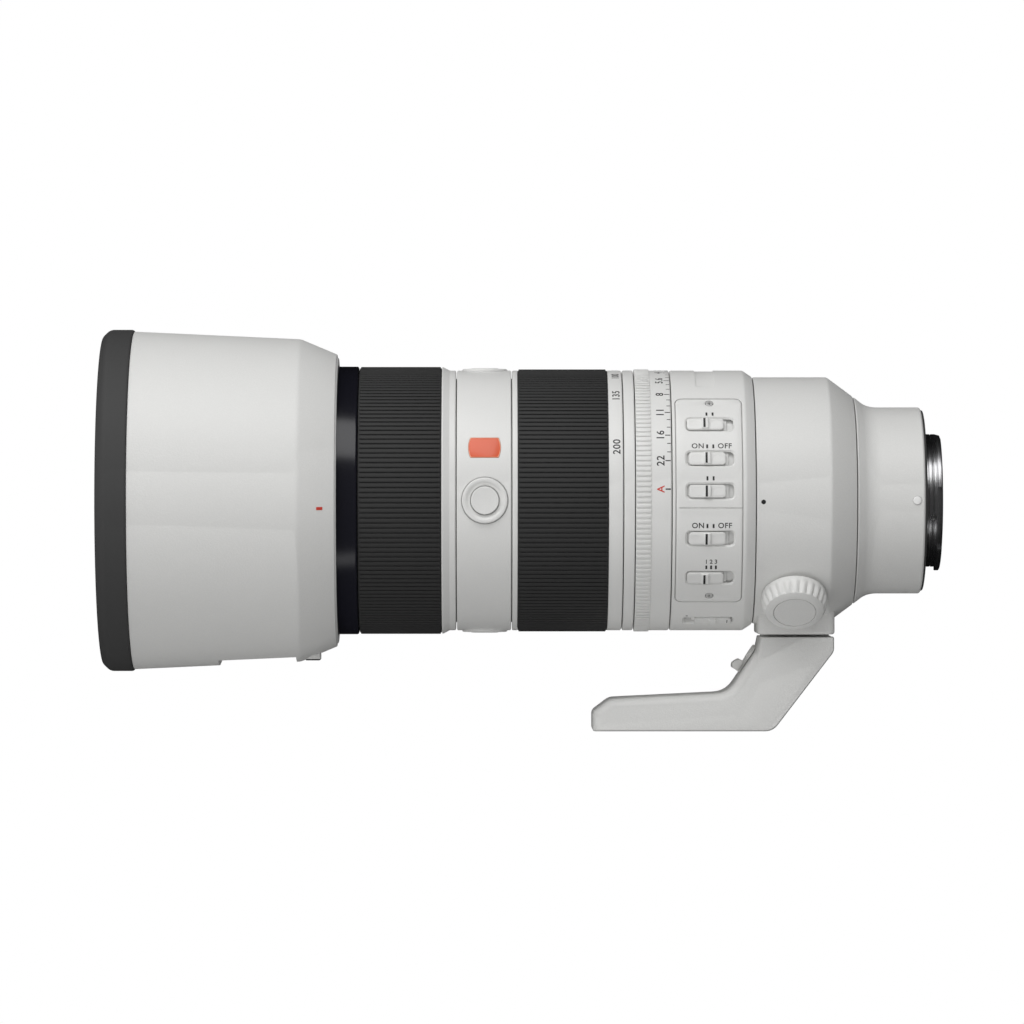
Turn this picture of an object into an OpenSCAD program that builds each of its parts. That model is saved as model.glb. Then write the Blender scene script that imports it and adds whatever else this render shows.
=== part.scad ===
// Telephoto zoom lens with hood, tripod collar and foot, in millimetres.
// The optical axis lies along X: the front looks towards -X and the mount flange is the plane X = 0.
// Angles round the axis are counted from the -Y side (the switch side) up towards +Z (the top).

/* [Barrel] */
// Outside radius of the fixed barrel sections
barrel_r = 42.7; // [41.5:0.1:56]
// Wall of the outer skins, down to the inner tube
skin_wall = 2.6; // [2.4:0.1:3.4]
// Wall of the fixed inner tube
tube_wall = 1.2; // [1:0.1:2]
// Height of the focus grip above the barrel
focus_grip_rise = 1.2; // [0.8:0.1:2]
// Height of the zoom grip above the barrel
zoom_grip_rise = 0.4; // [0.2:0.1:1.2]
// Thickness of the rubber grips
grip_rubber = 2.1; // [1.6:0.1:2.2]
// Gap between a turning or sliding piece and its neighbours
ring_gap = 0.3; // [0.2:0.05:0.4]
// Gap between pieces that are fastened together
seat_gap = 0.1; // [0.05:0.01:0.15]

/* [Ring lengths] */
// Length of the front ring
front_ring_length = 14.9; // [13:0.1:20]
// Length of the focus ring, with its sleeve
focus_ring_length = 31.6; // [28:0.1:40]
// Length of the bare sleeve behind the focus grip
focus_tail_length = 4.6; // [3:0.1:7]
// Length of the belt that holds the focus hold buttons
button_belt_length = 17.7; // [17:0.1:24]
// Length of the zoom ring
zoom_ring_length = 35.8; // [32:0.1:44]
// Length of the lip in front of the zoom grip
zoom_lip_length = 1.7; // [1:0.1:3]
// Length of the numbered band behind the zoom grip
zoom_scale_length = 4.6; // [3:0.1:7]
// Length of the fixed band with the index mark
index_band_length = 3.5; // [2.5:0.1:6]
// Length of the aperture ring
aperture_ring_length = 11.5; // [9:0.1:16]
// Length of the aperture ring's ribbed part
aperture_rib_length = 4.9; // [3:0.1:7]
// Length of the barrel section that carries the switches
switch_barrel_length = 26.9; // [26:0.1:34]
// Length of the collar's cylinder
collar_length = 24.4; // [24:0.1:32]
// Length of the collar's cone
collar_cone_length = 8.4; // [7:0.1:11]
// Length of the rear barrel
rear_barrel_length = 22.1; // [18:0.1:28]

/* [Hood] */
// Length of the hood's straight part, from its knee to the bumper
hood_body_length = 54.7; // [50:0.1:80]
// Height of the hood's front above the barrel
hood_front_rise = 12.8; // [12:0.1:27]
// Height of the hood's knee above the barrel
hood_knee_rise = 10.3; // [9.5:0.1:24]
// Wall of the hood
hood_wall = 1.6; // [1.5:0.1:2.4]
// Length of the rubber bumper
bumper_length = 10.2; // [8:0.1:14]
// Height of the bumper above the hood
bumper_rise = 0.6; // [0.3:0.1:1.2]
// Turn of the hood from its stop to its entry slots, in degrees
hood_turn = 60; // [45:1:70]
// Length of the filter window, along the axis
window_length = 24; // [18:0.5:28]
// Width of the filter window, in degrees
window_angle = 30; // [20:1:36]
// Travel of the window cover, in degrees
window_travel = 22; // [15:1:25]
// Length and width of the hood's release button
hood_button_length = 5; // [4:0.1:6]
hood_button_width = 12; // [8:0.5:16]

/* [Filter thread] */
// Wall radius of the filter thread
filter_r = 38.1; // [30:0.1:40]
// Length of the filter thread
filter_length = 4.5; // [3:0.1:6]

/* [Hold buttons] */
// Outer radius of the bezel round each hold button
bezel_r = 7.45; // [6.5:0.05:8]
// Radius of each hold button
hold_button_r = 4.55; // [3.5:0.05:5.2]

/* [Switches] */
// Length of the switch panel
panel_length = 21.5; // [20:0.1:24]
// Half of the panel's spread round the barrel, in degrees
panel_half_angle = 50.4; // [46:0.1:54]
// Length of a switch's slot
slot_length = 15.2; // [14:0.1:16]
// Width of a switch's slot
slot_width = 4.7; // [4:0.1:5.2]
// Length of a switch's slider
slider_length = 11.8; // [10:0.1:12]
// Travel of a two-way switch
switch_travel = 2; // [1.5:0.1:2.4]

/* [Collar and foot] */
// Outside radius of the tripod collar
collar_r = 40.5; // [40:0.1:46]
// Wall of the tripod collar
collar_wall = 2.6; // [2:0.1:3.5]
// Width of the foot
foot_width = 32; // [28:0.5:40]
// Depth of the foot's base below the barrel
foot_depth = 32.8; // [31.3:0.1:41.3]
// Length of the foot's toe in front of the collar
toe_length = 52.6; // [45:0.1:60]
// Height of the foot's toe
toe_height = 11.6; // [10:0.1:14]
// Wall radius of the tripod thread
tripod_r = 2.55; // [2.4:0.01:4.6]
// Depth of the tripod thread
tripod_depth = 9; // [6:0.1:9.5]
// Radius of the collar's clamp knob
knob_r = 10.75; // [9:0.05:11]
// Height of the clamp knob
knob_height = 7.2; // [6:0.1:9]

/* [Mount] */
// Outside radius of the rear barrel
rear_r = 30.6; // [30:0.1:33]
// Radius of the bayonet's flange
flange_r = 28; // [27:0.1:28.4]
// Radius of the bayonet's spigot
spigot_r = 21.8; // [21:0.1:22.4]
// Radius over the bayonet's lugs
lug_r = 23; // [22.8:0.1:24]
// Radius of the bayonet's throat
throat_r = 20.2; // [19:0.1:20.5]
// Length of the bayonet's spigot
spigot_length = 5.5; // [5.2:0.1:6.5]
// Thickness of the mount gasket
gasket_thickness = 0.8; // [0.5:0.1:1.2]

/* [Hidden] */
$fn = 96;
over = 1;            // how far a cut runs past the face it starts from

// Stations along the axis, from the flange to the front
x_gasket = -gasket_thickness;
x_rear = x_gasket - rear_barrel_length;
x_cone = x_rear - ring_gap;
x_bend = x_cone - collar_cone_length;
x_collar = x_bend - collar_length;
x_switch_end = x_collar - ring_gap;
x_switch = x_switch_end - switch_barrel_length;
x_aperture_end = x_switch - ring_gap;
x_aperture = x_aperture_end - aperture_ring_length;
x_index_end = x_aperture - ring_gap;
x_index = x_index_end - index_band_length;
x_zoom_end = x_index - ring_gap;
x_zoom = x_zoom_end - zoom_ring_length;
x_belt_end = x_zoom - ring_gap;
x_belt = x_belt_end - button_belt_length;
x_focus_end = x_belt - ring_gap;
x_focus = x_focus_end - focus_ring_length;
x_front_end = x_focus - ring_gap;
x_front = x_front_end - front_ring_length;
x_hood_end = x_front + 8.2;
x_hood_cone = x_hood_end - 0.5;
x_knee = x_hood_cone - 11.9;
x_bumper = x_knee - hood_body_length;
x_hood_front = x_bumper - bumper_length;

// Radii from the skin inwards
focus_grip_r = barrel_r + focus_grip_rise;
zoom_grip_r = barrel_r + zoom_grip_rise;
front_ring_r = barrel_r + 1.3;
hood_front_r = barrel_r + hood_front_rise;
hood_knee_r = barrel_r + hood_knee_rise;
tube_r = barrel_r - skin_wall - seat_gap;
fixed_in = tube_r + seat_gap;
turn_in = tube_r + ring_gap;
tube_in = tube_r - tube_wall;
cell_seat_r = tube_in - seat_gap;
cam_out = tube_in - ring_gap;
cam_in = cam_out - 1.5;
guide_out = cam_in - ring_gap;
guide_in = guide_out - 1.3;
zoom_cell_r = guide_in - ring_gap;
collar_in = collar_r - collar_wall;
collar_tube_r = collar_in - ring_gap;
collar_tube_in = collar_tube_r - tube_wall;
cone_r = rear_r + 3.7;
cone_slope = (collar_r - cone_r) / collar_cone_length;
rear_tube_r = rear_r - 1.3;
rear_tube_in = rear_tube_r - tube_wall;

// Cam drive: three follower pins, each in a straight guide slot and a slanted cam slot
zoom_turn = 66;
zoom_travel = 30;
follower_angles = [30, 150, 270];
follower_r = 1.5;
x_follower = x_zoom - 3;
zoom_cell_length = 16;
key_angle = 177;
key_r = 2;
x_key = x_zoom + 17;

// Bayonet between the hood and the front ring
tab_angles = [90, 210, 330];
tab_width = 16;
tab_depth = 1.4;
x_tab = x_hood_end - 4.8;
tab_length = 2.2;

// Focus group on its rods
focus_travel = 4;
focus_cell_length = 9;
focus_cell_r = guide_in + 1;
x_focus_cell = (x_focus + x_focus_end) / 2 + 3.5;
rod_angles = [75, 255];
rod_r = 1;
rod_place_r = zoom_cell_r - 2;
rod_clearance = 0.05;
x_front_wall = x_focus_cell - focus_travel - 3;
x_guide_wall = x_focus_cell + focus_cell_length + focus_travel + 1;
bulkhead = 2;

// Iris and stabiliser, in one housing
x_iris = x_index_end - 2.2;
x_blades = x_iris + 2;
x_mid_wall = x_blades + 3.2;
x_housing_end = x_mid_wall + 18;
blade_count = 11;
blade_gap = 0.24;
shift_travel = 0.8;

// Switches on the panel, at these angles
x_panel = x_switch + 1.1;
x_slot = x_switch + 12.2;
panel_thickness = 0.8;
panel_in = barrel_r - panel_thickness;
focus_mode_angle = 35.5;
full_time_angle = 18.9;
focus_limit_angle = 4.1;
stabiliser_angle = -17.1;
stabiliser_mode_angle = -36.2;
switch_angles = [focus_mode_angle, full_time_angle, focus_limit_angle,
                 stabiliser_angle, stabiliser_mode_angle];
mode_travel = switch_travel + 1;
lock_travel = -3;
iris_lock_angle = -66.3;
iris_click_angle = 180;
slider_base_length = slider_length + 2;
slider_base_width = slot_width + 1.1;
slider_floor = panel_in - 1;
screw_angles = [47.6, -46.6];
screw_r = 1.1;

// Hold buttons, at these angles
hold_angles = [0, 90, -90];
x_hold = x_belt_end - 8.6;
hold_travel = 0.5;
bezel_floor = barrel_r - 1.7;
x_badge = x_hold - 0.1;
badge_angle = 23.6;
badge_size = [10.5, 7];
badge_corner = 1.2;
badge_thickness = 1;

// Collar knob, dovetail and foot
x_knob = x_collar + 12.7;
knob_base = collar_r + ring_gap;
knob_room = 2.32;    // between the knob's lower edge and the plane of the foot's side
knob_angle = atan(knob_r / knob_base) - acos((foot_width / 2 + knob_room) / norm([knob_base, knob_r]));
knob_screw_r = 2.5;
pedestal_drop = barrel_r + 1.1;
pedestal_front = x_collar + 1.3;
pedestal_end = x_bend + 2.1;
foot_top = pedestal_drop + 0.8;
foot_drop = barrel_r + foot_depth;
rail_neck = 7;
rail_foot = 9.5;
rail_drop = foot_top + 3.4;
x_rail = pedestal_front + 1.7;
x_rail_end = pedestal_end - 1.5;
x_toe = x_collar - toe_length;
neck_foot = [x_collar - 8.1, -(foot_drop - toe_height - 0.7)];
neck_head = [x_collar + 1.3, -(foot_top + 4.2)];
neck_angle = atan2(neck_head[1] - neck_foot[1], neck_head[0] - neck_foot[0]);
lever_point = neck_head - 2.2 * [cos(neck_angle), sin(neck_angle)];
x_socket = x_collar - 24;
bush_r = 5;

// Mount
lugs = [[11, 63], [-95, -44], [139, 191]];
mount_screw_angles = [45, 135, 225, 315];
mount_screw_place_r = flange_r - 2.1;
ledge_r = mount_screw_place_r - 1.6;
flange_thickness = 2.6;
x_ledge = -flange_thickness - seat_gap;
lock_hole_angle = 170;
pin_count = 10;

// A closed outline of [station, radius] points, turned about the optical axis
module turned(outline) {
  rotate([0, 90, 0]) rotate_extrude() polygon([for (p = outline) [p[1], p[0]]]);
}

// The same, but only between two angles
module turned_arc(outline, from, to) {
  rotate([0, 90, 0]) rotate([0, 0, -90 - to]) rotate_extrude(angle = to - from)
    polygon([for (p = outline) [p[1], p[0]]]);
}

// Outline of a plain band between two stations and two radii
function band(x1, x2, r1, r2) = [[x1, r1], [x1, r2], [x2, r2], [x2, r1]];

// Places its children at an angle round the axis, with +Z pointing outwards
module around(angle) {
  rotate([90 - angle, 0, 0]) children();
}

// A block between two stations, centred across, between two heights
module block(x1, x2, width, z1, z2) {
  translate([x1, -width / 2, z1]) cube([x2 - x1, width, z2 - z1]);
}

// A rounded plate, centred on a point, between two heights
module rounded_plate(x, length, width, corner, z1, z2) {
  translate([x, 0, z1]) linear_extrude(z2 - z1) union() {
    square([length - 2 * corner, width], center = true);
    square([length, width - 2 * corner], center = true);
    for (sx = [-1, 1], sy = [-1, 1])
      translate([sx * (length / 2 - corner), sy * (width / 2 - corner)]) circle(corner);
  }
}

// Outline of a glass element whose faces bulge by front and back at the axis
function glass(x, edge, r, front, back) = concat(
  [for (i = [0:8]) [x - front * (1 - pow(i / 8, 2)), r * i / 8]],
  [for (i = [8:-1:0]) [x + edge + back * (1 - pow(i / 8, 2)), r * i / 8]]
);

// Hood -------------------------------------------------------------------

function hood_outer_r(x) = hood_knee_r + (hood_front_r - hood_knee_r) * (x_knee - x) / hood_body_length;
hood_lip_in = front_ring_r + ring_gap;
spigot_out = hood_front_r - 1.5;
hood_in_front = spigot_out - hood_wall + 0.3;
hood_in_knee = hood_knee_r - hood_wall;
cover_r = hood_in_knee - 0.3;
cover_wall = 1.2;
window_x1 = x_knee - window_length - 1.3;
window_x2 = window_x1 + window_length;
hood_button_x = x_hood_cone - 7.9;

module hood_tabs(grow, from_turn, to_turn) {
  for (a = tab_angles)
    turned_arc(band(x_tab - grow, x_tab + tab_length + grow,
                    hood_lip_in - tab_depth - grow, hood_lip_in + 0.5),
               a - tab_width / 2 - grow + from_turn, a + tab_width / 2 + grow + to_turn);
}

module window_channel() {
  turned_arc(band(window_x1 - 2, window_x2 + 2, cover_r - cover_wall - ring_gap, cover_r + ring_gap),
             -90 - window_angle / 2 - 3, -90 + window_angle / 2 + window_travel + 3);
}

module window_hole() {
  turned_arc([[window_x1, cover_r - 4], [window_x1, cover_r], [window_x1 - 3, hood_front_r + 1],
              [window_x2, hood_front_r + 1], [window_x2, cover_r - 4]],
             -90 - window_angle / 2, -90 + window_angle / 2);
}

module hood_shell() {
  color([0.84, 0.84, 0.83]) {
    difference() {
      union() {
        turned([[x_bumper - 5.2, hood_in_front], [x_bumper - 5.2, spigot_out], [x_bumper, spigot_out],
                [x_bumper, hood_front_r], [x_knee, hood_knee_r], [x_hood_cone, hood_knee_r - 5],
                [x_hood_cone, hood_lip_in + 2.7], [x_hood_end, hood_lip_in + 2.5], [x_hood_end, hood_lip_in],
                [x_hood_end - 5.2, hood_lip_in], [x_hood_end - 5.8, hood_lip_in + 2.2],
                [x_knee - 1.3, hood_in_knee]]);
        turned_arc([[window_x1 - 4, hood_in_knee + 0.9], [window_x1 - 2.6, cover_r - cover_wall - 0.9],
                    [window_x2 + 2.6, cover_r - cover_wall - 0.9], [window_x2 + 3, hood_in_knee + 0.4]],
                   -90 - window_angle / 2 - 5, -90 + window_angle / 2 + window_travel + 5);
      }
      window_channel();
      window_hole();
      around(-90) rounded_plate(hood_button_x, hood_button_length + 2 * ring_gap,
                                hood_button_width + 2 * ring_gap, 1.6, hood_lip_in + 1.2, hood_front_r);
    }
    hood_tabs(0, 0, 0);
  }
}

module hood_bumper() {
  bumper_r = hood_front_r + bumper_rise;
  bumper_in = hood_in_front;
  round_r = 2.6;
  color([0.2, 0.2, 0.2])
    turned(concat(
      [[x_bumper - seat_gap, spigot_out + seat_gap], [x_bumper - seat_gap, bumper_r - 0.3],
       [x_bumper - 0.6, bumper_r]],
      [for (a = [0:15:90])
        [x_hood_front + round_r - round_r * sin(a), bumper_r - round_r + round_r * cos(a)]],
      [[x_hood_front, bumper_in + 0.6], [x_hood_front + 0.6, bumper_in],
       [x_bumper - 5.2 - seat_gap, bumper_in], [x_bumper - 5.2 - seat_gap, spigot_out + seat_gap]]));
}

module hood_window() {
  color([0.8, 0.8, 0.79]) {
    turned_arc(band(window_x1 - 1.7, window_x2 + 1.7, cover_r - cover_wall, cover_r),
               -90 - window_angle / 2 - 2, -90 + window_angle / 2 + 2);
    turned_arc(band(window_x1 + 7, window_x2 - 7, cover_r - 0.2, cover_r + 0.9),
               -90 - window_angle / 2 + 2, -90 - window_angle / 2 + 4);
  }
}

module hood_release_button() {
  top_r = hood_outer_r(x_knee) - 0.5;
  color([0.8, 0.8, 0.79]) around(-90)
    rounded_plate(hood_button_x, hood_button_length, hood_button_width, 1.4, hood_lip_in + 2.9, top_r);
}

// Front ------------------------------------------------------------------

module front_ring() {
  seat_x = x_front_end - 4.8;
  cell_x = x_front + filter_length;
  color([0.06, 0.06, 0.07]) difference() {
    turned([[x_front, filter_r + 0.4], [x_front, front_ring_r - 0.4], [x_front + 0.4, front_ring_r],
            [x_front_end - 0.3, front_ring_r], [x_front_end, front_ring_r - 0.3],
            [x_front_end, fixed_in], [seat_x, fixed_in], [seat_x, tube_in + 0.2],
            [cell_x, tube_in + 0.2], [cell_x, filter_r], [x_front + 0.4, filter_r]]);
    hood_tabs(ring_gap, 0, hood_turn + 1);
    for (a = tab_angles)
      turned_arc(band(x_front - over, x_tab + 0.5, hood_lip_in - tab_depth - ring_gap - 0.05,
                      front_ring_r + over),
                 a + hood_turn - tab_width / 2 - 0.6, a + hood_turn + tab_width / 2 + 0.6);
  }
}

x_cell = x_front + filter_length + seat_gap;
front_glass_r = filter_r - 2;

module front_cell() {
  color([0.08, 0.08, 0.08]) difference() {
    turned([[x_cell, cell_seat_r], [x_cell, filter_r - 0.2], [x_cell + 1.8, filter_r - 3.5],
            [x_cell + 3.6, filter_r - 3.5], [x_cell + 3.6, front_glass_r + seat_gap],
            [x_front_wall - 4, front_glass_r + seat_gap], [x_front_wall - 4, rod_place_r - 3],
            [x_front_wall + bulkhead, rod_place_r - 3], [x_front_wall + bulkhead, cell_seat_r]]);
    for (a = rod_angles)
      around(a) translate([x_front_wall - over, 0, rod_place_r]) rotate([0, 90, 0])
        cylinder(r = rod_r + rod_clearance, h = bulkhead + 2 * over, $fn = 24);
  }
}

module front_glass() {
  color([0.3, 0.35, 0.4, 0.4]) {
    turned(glass(x_cell + 4, 1.6, front_glass_r, 1.8, 1.8));
    turned(glass(x_cell + 8.2, 1.8, front_glass_r, -1.4, 1));
  }
}

// Focus ------------------------------------------------------------------

module focus_ring() {
  grip_end = x_focus_end - focus_tail_length;
  grip_seat = focus_grip_r - grip_rubber - seat_gap;
  color([0.86, 0.86, 0.85])
    turned([[x_focus, turn_in], [x_focus, grip_seat], [grip_end, grip_seat],
            [grip_end, focus_grip_r - 0.1], [grip_end + 2.2, barrel_r], [x_focus_end - 0.3, barrel_r],
            [x_focus_end, barrel_r - 0.3], [x_focus_end, turn_in]]);
}

module focus_grip() {
  grip_end = x_focus_end - focus_tail_length - seat_gap;
  color([0.17, 0.17, 0.17])
    turned([[x_focus, focus_grip_r - grip_rubber], [x_focus, focus_grip_r - 0.5],
            [x_focus + 0.5, focus_grip_r], [grip_end - 0.3, focus_grip_r], [grip_end, focus_grip_r - 0.3],
            [grip_end, focus_grip_r - grip_rubber]]);
}

module focus_cell() {
  color([0.1, 0.1, 0.1]) difference() {
    turned([[x_focus_cell, 26], [x_focus_cell, 28], [x_focus_cell + 2, 28], [x_focus_cell + 2, focus_cell_r],
            [x_focus_cell + 7, focus_cell_r], [x_focus_cell + 7, 28], [x_focus_cell + focus_cell_length, 28],
            [x_focus_cell + focus_cell_length, 26]]);
    for (a = rod_angles)
      around(a) translate([x_focus_cell - over, 0, rod_place_r]) rotate([0, 90, 0])
        cylinder(r = rod_r + rod_clearance, h = focus_cell_length + 2 * over, $fn = 24);
  }
}

module focus_glass() {
  color([0.3, 0.35, 0.4, 0.4]) {
    turned(glass(x_focus_cell + 1.2, 1.6, 26 - seat_gap, -0.4, 1));
    turned(glass(x_focus_cell + 5.2, 1.6, 26 - seat_gap, 0.8, -0.4));
  }
}

module focus_rods() {
  color([0.75, 0.75, 0.77]) for (a = rod_angles)
    around(a) translate([x_front_wall + 0.2, 0, rod_place_r]) rotate([0, 90, 0])
      cylinder(r = rod_r, h = x_guide_wall + bulkhead - x_front_wall - 0.4, $fn = 24);
}

module focus_motor() {
  color([0.45, 0.3, 0.2])
    turned_arc(band(x_front_wall + bulkhead + 0.5, x_guide_wall - 0.5, focus_cell_r + ring_gap, cell_seat_r),
               168, 192);
}

// Button belt ------------------------------------------------------------

module badge(grow, bottom, top) {
  around(badge_angle) rounded_plate(x_badge, badge_size[0] + 2 * grow, badge_size[1] + 2 * grow,
                                    badge_corner, bottom, top);
}

module button_belt() {
  color([0.86, 0.86, 0.85]) difference() {
    turned([[x_belt, fixed_in], [x_belt, barrel_r - 0.3], [x_belt + 0.3, barrel_r],
            [x_belt_end - 0.3, barrel_r], [x_belt_end, barrel_r - 0.3], [x_belt_end, fixed_in]]);
    for (a = hold_angles) around(a) {
      translate([x_hold, 0, bezel_floor]) cylinder(r = bezel_r + seat_gap, h = skin_wall + 3);
      translate([x_hold, 0, tube_r - over]) cylinder(r = hold_button_r + 1, h = skin_wall + 3);
    }
    badge(seat_gap, barrel_r - badge_thickness - seat_gap, barrel_r + over);
  }
}

module hold_button_bezels() {
  color([0.82, 0.82, 0.81]) for (a = hold_angles)
    around(a) difference() {
      translate([x_hold, 0, bezel_floor]) cylinder(r = bezel_r, h = 2.2);
      translate([x_hold, 0, bezel_floor - over]) cylinder(r = hold_button_r + 0.2, h = 5);
    }
}

module hold_button(angle) {
  color([0.84, 0.84, 0.83]) around(angle) translate([x_hold, 0, bezel_floor - 0.3]) {
    cylinder(r = hold_button_r + 0.7, h = 0.25);
    cylinder(r = hold_button_r, h = 3);
  }
}

module hold_button_side() { hold_button(hold_angles[0]); }
module hold_button_top() { hold_button(hold_angles[1]); }
module hold_button_bottom() { hold_button(hold_angles[2]); }

module badge_plate() {
  color([0.85, 0.33, 0.2]) badge(0, barrel_r - badge_thickness, barrel_r - 0.05);
}

// Zoom -------------------------------------------------------------------

module main_barrel() {
  step = 2;
  inner_bend = x_bend - 2;
  color([0.15, 0.15, 0.15]) difference() {
    turned([
      [x_front_end - 4.7, tube_in], [x_front_end - 4.7, tube_r], [x_switch_end, tube_r],
      [x_switch_end, collar_tube_r], [x_bend - 1.3, collar_tube_r],
      [x_cone - 0.5, collar_tube_r - cone_slope * (x_cone - x_bend + 0.8)], [x_cone - 0.5, rear_tube_r],
      [x_ledge, rear_tube_r], [x_ledge, ledge_r], [x_ledge - 2.5, ledge_r],
      [x_ledge - 2.5, rear_tube_in], [x_cone + 1, rear_tube_in],
      [inner_bend, collar_tube_in], [x_switch_end - step, collar_tube_in], [x_switch_end - step, tube_in]
    ]);
    turned_arc(band(x_key - key_r - ring_gap, x_key + key_r + ring_gap, tube_in - over, tube_r + over),
               key_angle - 4, key_angle + zoom_turn + 4);
    for (a = mount_screw_angles)
      around(a) translate([x_ledge - 4, 0, mount_screw_place_r]) rotate([0, 90, 0])
        cylinder(r = 0.85, h = 6, $fn = 24);
  }
}

module zoom_ring() {
  grip_front = x_zoom + zoom_lip_length;
  grip_end = x_zoom_end - zoom_scale_length;
  grip_seat = zoom_grip_r - grip_rubber + 0.4;
  color([0.86, 0.86, 0.85]) difference() {
    turned([[x_zoom, turn_in], [x_zoom, barrel_r - 0.3], [x_zoom + 0.3, barrel_r], [grip_front, barrel_r],
            [grip_front, grip_seat], [grip_end, grip_seat], [grip_end, barrel_r],
            [x_zoom_end - 0.3, barrel_r], [x_zoom_end, barrel_r - 0.3], [x_zoom_end, turn_in]]);
    around(key_angle) translate([x_key, 0, tube_in]) cylinder(r = key_r + rod_clearance, h = 8);
  }
}

module zoom_grip() {
  grip_front = x_zoom + zoom_lip_length + seat_gap;
  grip_end = x_zoom_end - zoom_scale_length - seat_gap;
  grip_in = zoom_grip_r - grip_rubber + 0.4 + seat_gap;
  color([0.17, 0.17, 0.17])
    turned([[grip_front, grip_in], [grip_front, zoom_grip_r - 0.3], [grip_front + 0.3, zoom_grip_r],
            [grip_end - 0.3, zoom_grip_r], [grip_end, zoom_grip_r - 0.3], [grip_end, grip_in]]);
}

module zoom_key() {
  color([0.7, 0.7, 0.72]) around(key_angle) translate([x_key, 0, cam_in + 0.3])
    cylinder(r = key_r, h = zoom_grip_r - grip_rubber + 0.3 - cam_in - 0.3);
}

// Outline of a cam slot, seen along the radius at its middle
function cam_x(u) = x_follower + zoom_travel * (zoom_turn / 2 - u) / zoom_turn;
slot_mid_r = (cam_out + cam_in) / 2;
slot_half = (follower_r + 0.9) * 1.22;
slot_turns = [for (i = [-10:10]) i * (zoom_turn / 2 + 4) / 10];

module cam_slot() {
  low = cam_in * cos(zoom_turn / 2 + 6) - over;
  translate([0, 0, low]) linear_extrude(cam_out + over - low) polygon(concat(
    [for (u = slot_turns) [cam_x(u) - slot_half, slot_mid_r * sin(u)]],
    [for (i = [len(slot_turns) - 1:-1:0])
      [cam_x(slot_turns[i]) + slot_half, slot_mid_r * sin(slot_turns[i])]]
  ));
}

module cam_barrel() {
  color([0.55, 0.5, 0.4]) difference() {
    turned(band(x_guide_wall + bulkhead + 0.5, x_iris - 4, cam_in, cam_out));
    for (a = follower_angles) around(a - zoom_turn / 2) cam_slot();
    around(key_angle) translate([x_key, 0, cam_in - 2]) cylinder(r = key_r + rod_clearance, h = 6);
  }
}

module guide_barrel() {
  color([0.25, 0.25, 0.25]) difference() {
    turned([[x_guide_wall, rod_place_r - 3], [x_guide_wall, cell_seat_r],
            [x_guide_wall + bulkhead, cell_seat_r], [x_guide_wall + bulkhead, guide_out],
            [x_iris - 3.5, guide_out], [x_iris - 3.5, cell_seat_r], [x_iris - 1.5, cell_seat_r],
            [x_iris - 1.5, guide_in], [x_guide_wall + bulkhead, guide_in],
            [x_guide_wall + bulkhead, rod_place_r - 3]]);
    for (a = follower_angles)
      around(a) rounded_plate(x_follower + zoom_travel / 2, zoom_travel + 2 * follower_r + 1,
                              2 * follower_r + 0.4, 1.2, guide_in - 2, guide_out + 1);
    for (a = rod_angles)
      around(a) translate([x_guide_wall - over, 0, rod_place_r]) rotate([0, 90, 0])
        cylinder(r = rod_r + rod_clearance, h = bulkhead + 2 * over, $fn = 24);
  }
}

module zoom_cell() {
  x1 = x_follower - zoom_cell_length / 2 + 2;
  color([0.1, 0.1, 0.1]) {
    turned([[x1, 24], [x1, zoom_cell_r], [x1 + zoom_cell_length, zoom_cell_r],
            [x1 + zoom_cell_length, zoom_cell_r - 2], [x1 + 9, zoom_cell_r - 2], [x1 + 9, 26],
            [x1 + zoom_cell_length, 26], [x1 + zoom_cell_length, 22], [x1 + 8, 22], [x1 + 8, 24]]);
    for (a = follower_angles)
      around(a) translate([x_follower, 0, zoom_cell_r - over]) cylinder(r = follower_r, h = cam_out - 0.2
        - zoom_cell_r + over, $fn = 32);
  }
}

module zoom_glass() {
  x1 = x_follower - zoom_cell_length / 2 + 2;
  color([0.3, 0.35, 0.4, 0.4]) {
    turned(glass(x1 + 1.5, 1.6, 24 - seat_gap, -0.8, -0.4));
    turned(glass(x1 + 5.4, 2.4, 24 - seat_gap, 1.2, 0.4));
    turned(glass(x1 + 11.5, 1.8, 22 - seat_gap, 1, -0.6));
  }
}

// Iris -------------------------------------------------------------------

module index_band() {
  color([0.86, 0.86, 0.85])
    turned([[x_index, fixed_in], [x_index, barrel_r - 0.3], [x_index + 0.3, barrel_r],
            [x_index_end - 0.3, barrel_r], [x_index_end, barrel_r - 0.3], [x_index_end, fixed_in]]);
}

module aperture_ring() {
  rib_r = barrel_r + 0.4;
  rib_end = x_aperture + aperture_rib_length;
  color([0.86, 0.86, 0.85])
    turned([[x_aperture, turn_in], [x_aperture, rib_r - 0.4], [x_aperture + 0.4, rib_r],
            [rib_end - 0.3, rib_r], [rib_end, barrel_r], [x_aperture_end - 0.3, barrel_r],
            [x_aperture_end, barrel_r - 0.3], [x_aperture_end, turn_in]]);
}

module iris_housing() {
  blade_pocket = 36;
  color([0.12, 0.12, 0.12])
    turned([[x_iris, 26], [x_iris, cell_seat_r], [x_housing_end, cell_seat_r],
            [x_housing_end, cell_seat_r - 1.3],
            [x_mid_wall + 1.6, cell_seat_r - 1.3], [x_mid_wall + 1.6, 26], [x_mid_wall, 26],
            [x_mid_wall, blade_pocket], [x_blades - 0.4, blade_pocket], [x_blades - 0.4, 26]]);
}

module iris_blades() {
  color([0.05, 0.05, 0.05]) for (i = [0:blade_count - 1])
    turned_arc(band(x_blades + i * blade_gap, x_blades + i * blade_gap + 0.15, 28, 35.5),
               i * 360 / blade_count, i * 360 / blade_count + 58);
}

module stabiliser_frame() {
  x1 = x_mid_wall + 1.6 + ring_gap;
  color([0.2, 0.2, 0.22]) turned(band(x1, x1 + 2.4, 25, cell_seat_r - 1.3 - 2 * shift_travel));
}

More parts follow.
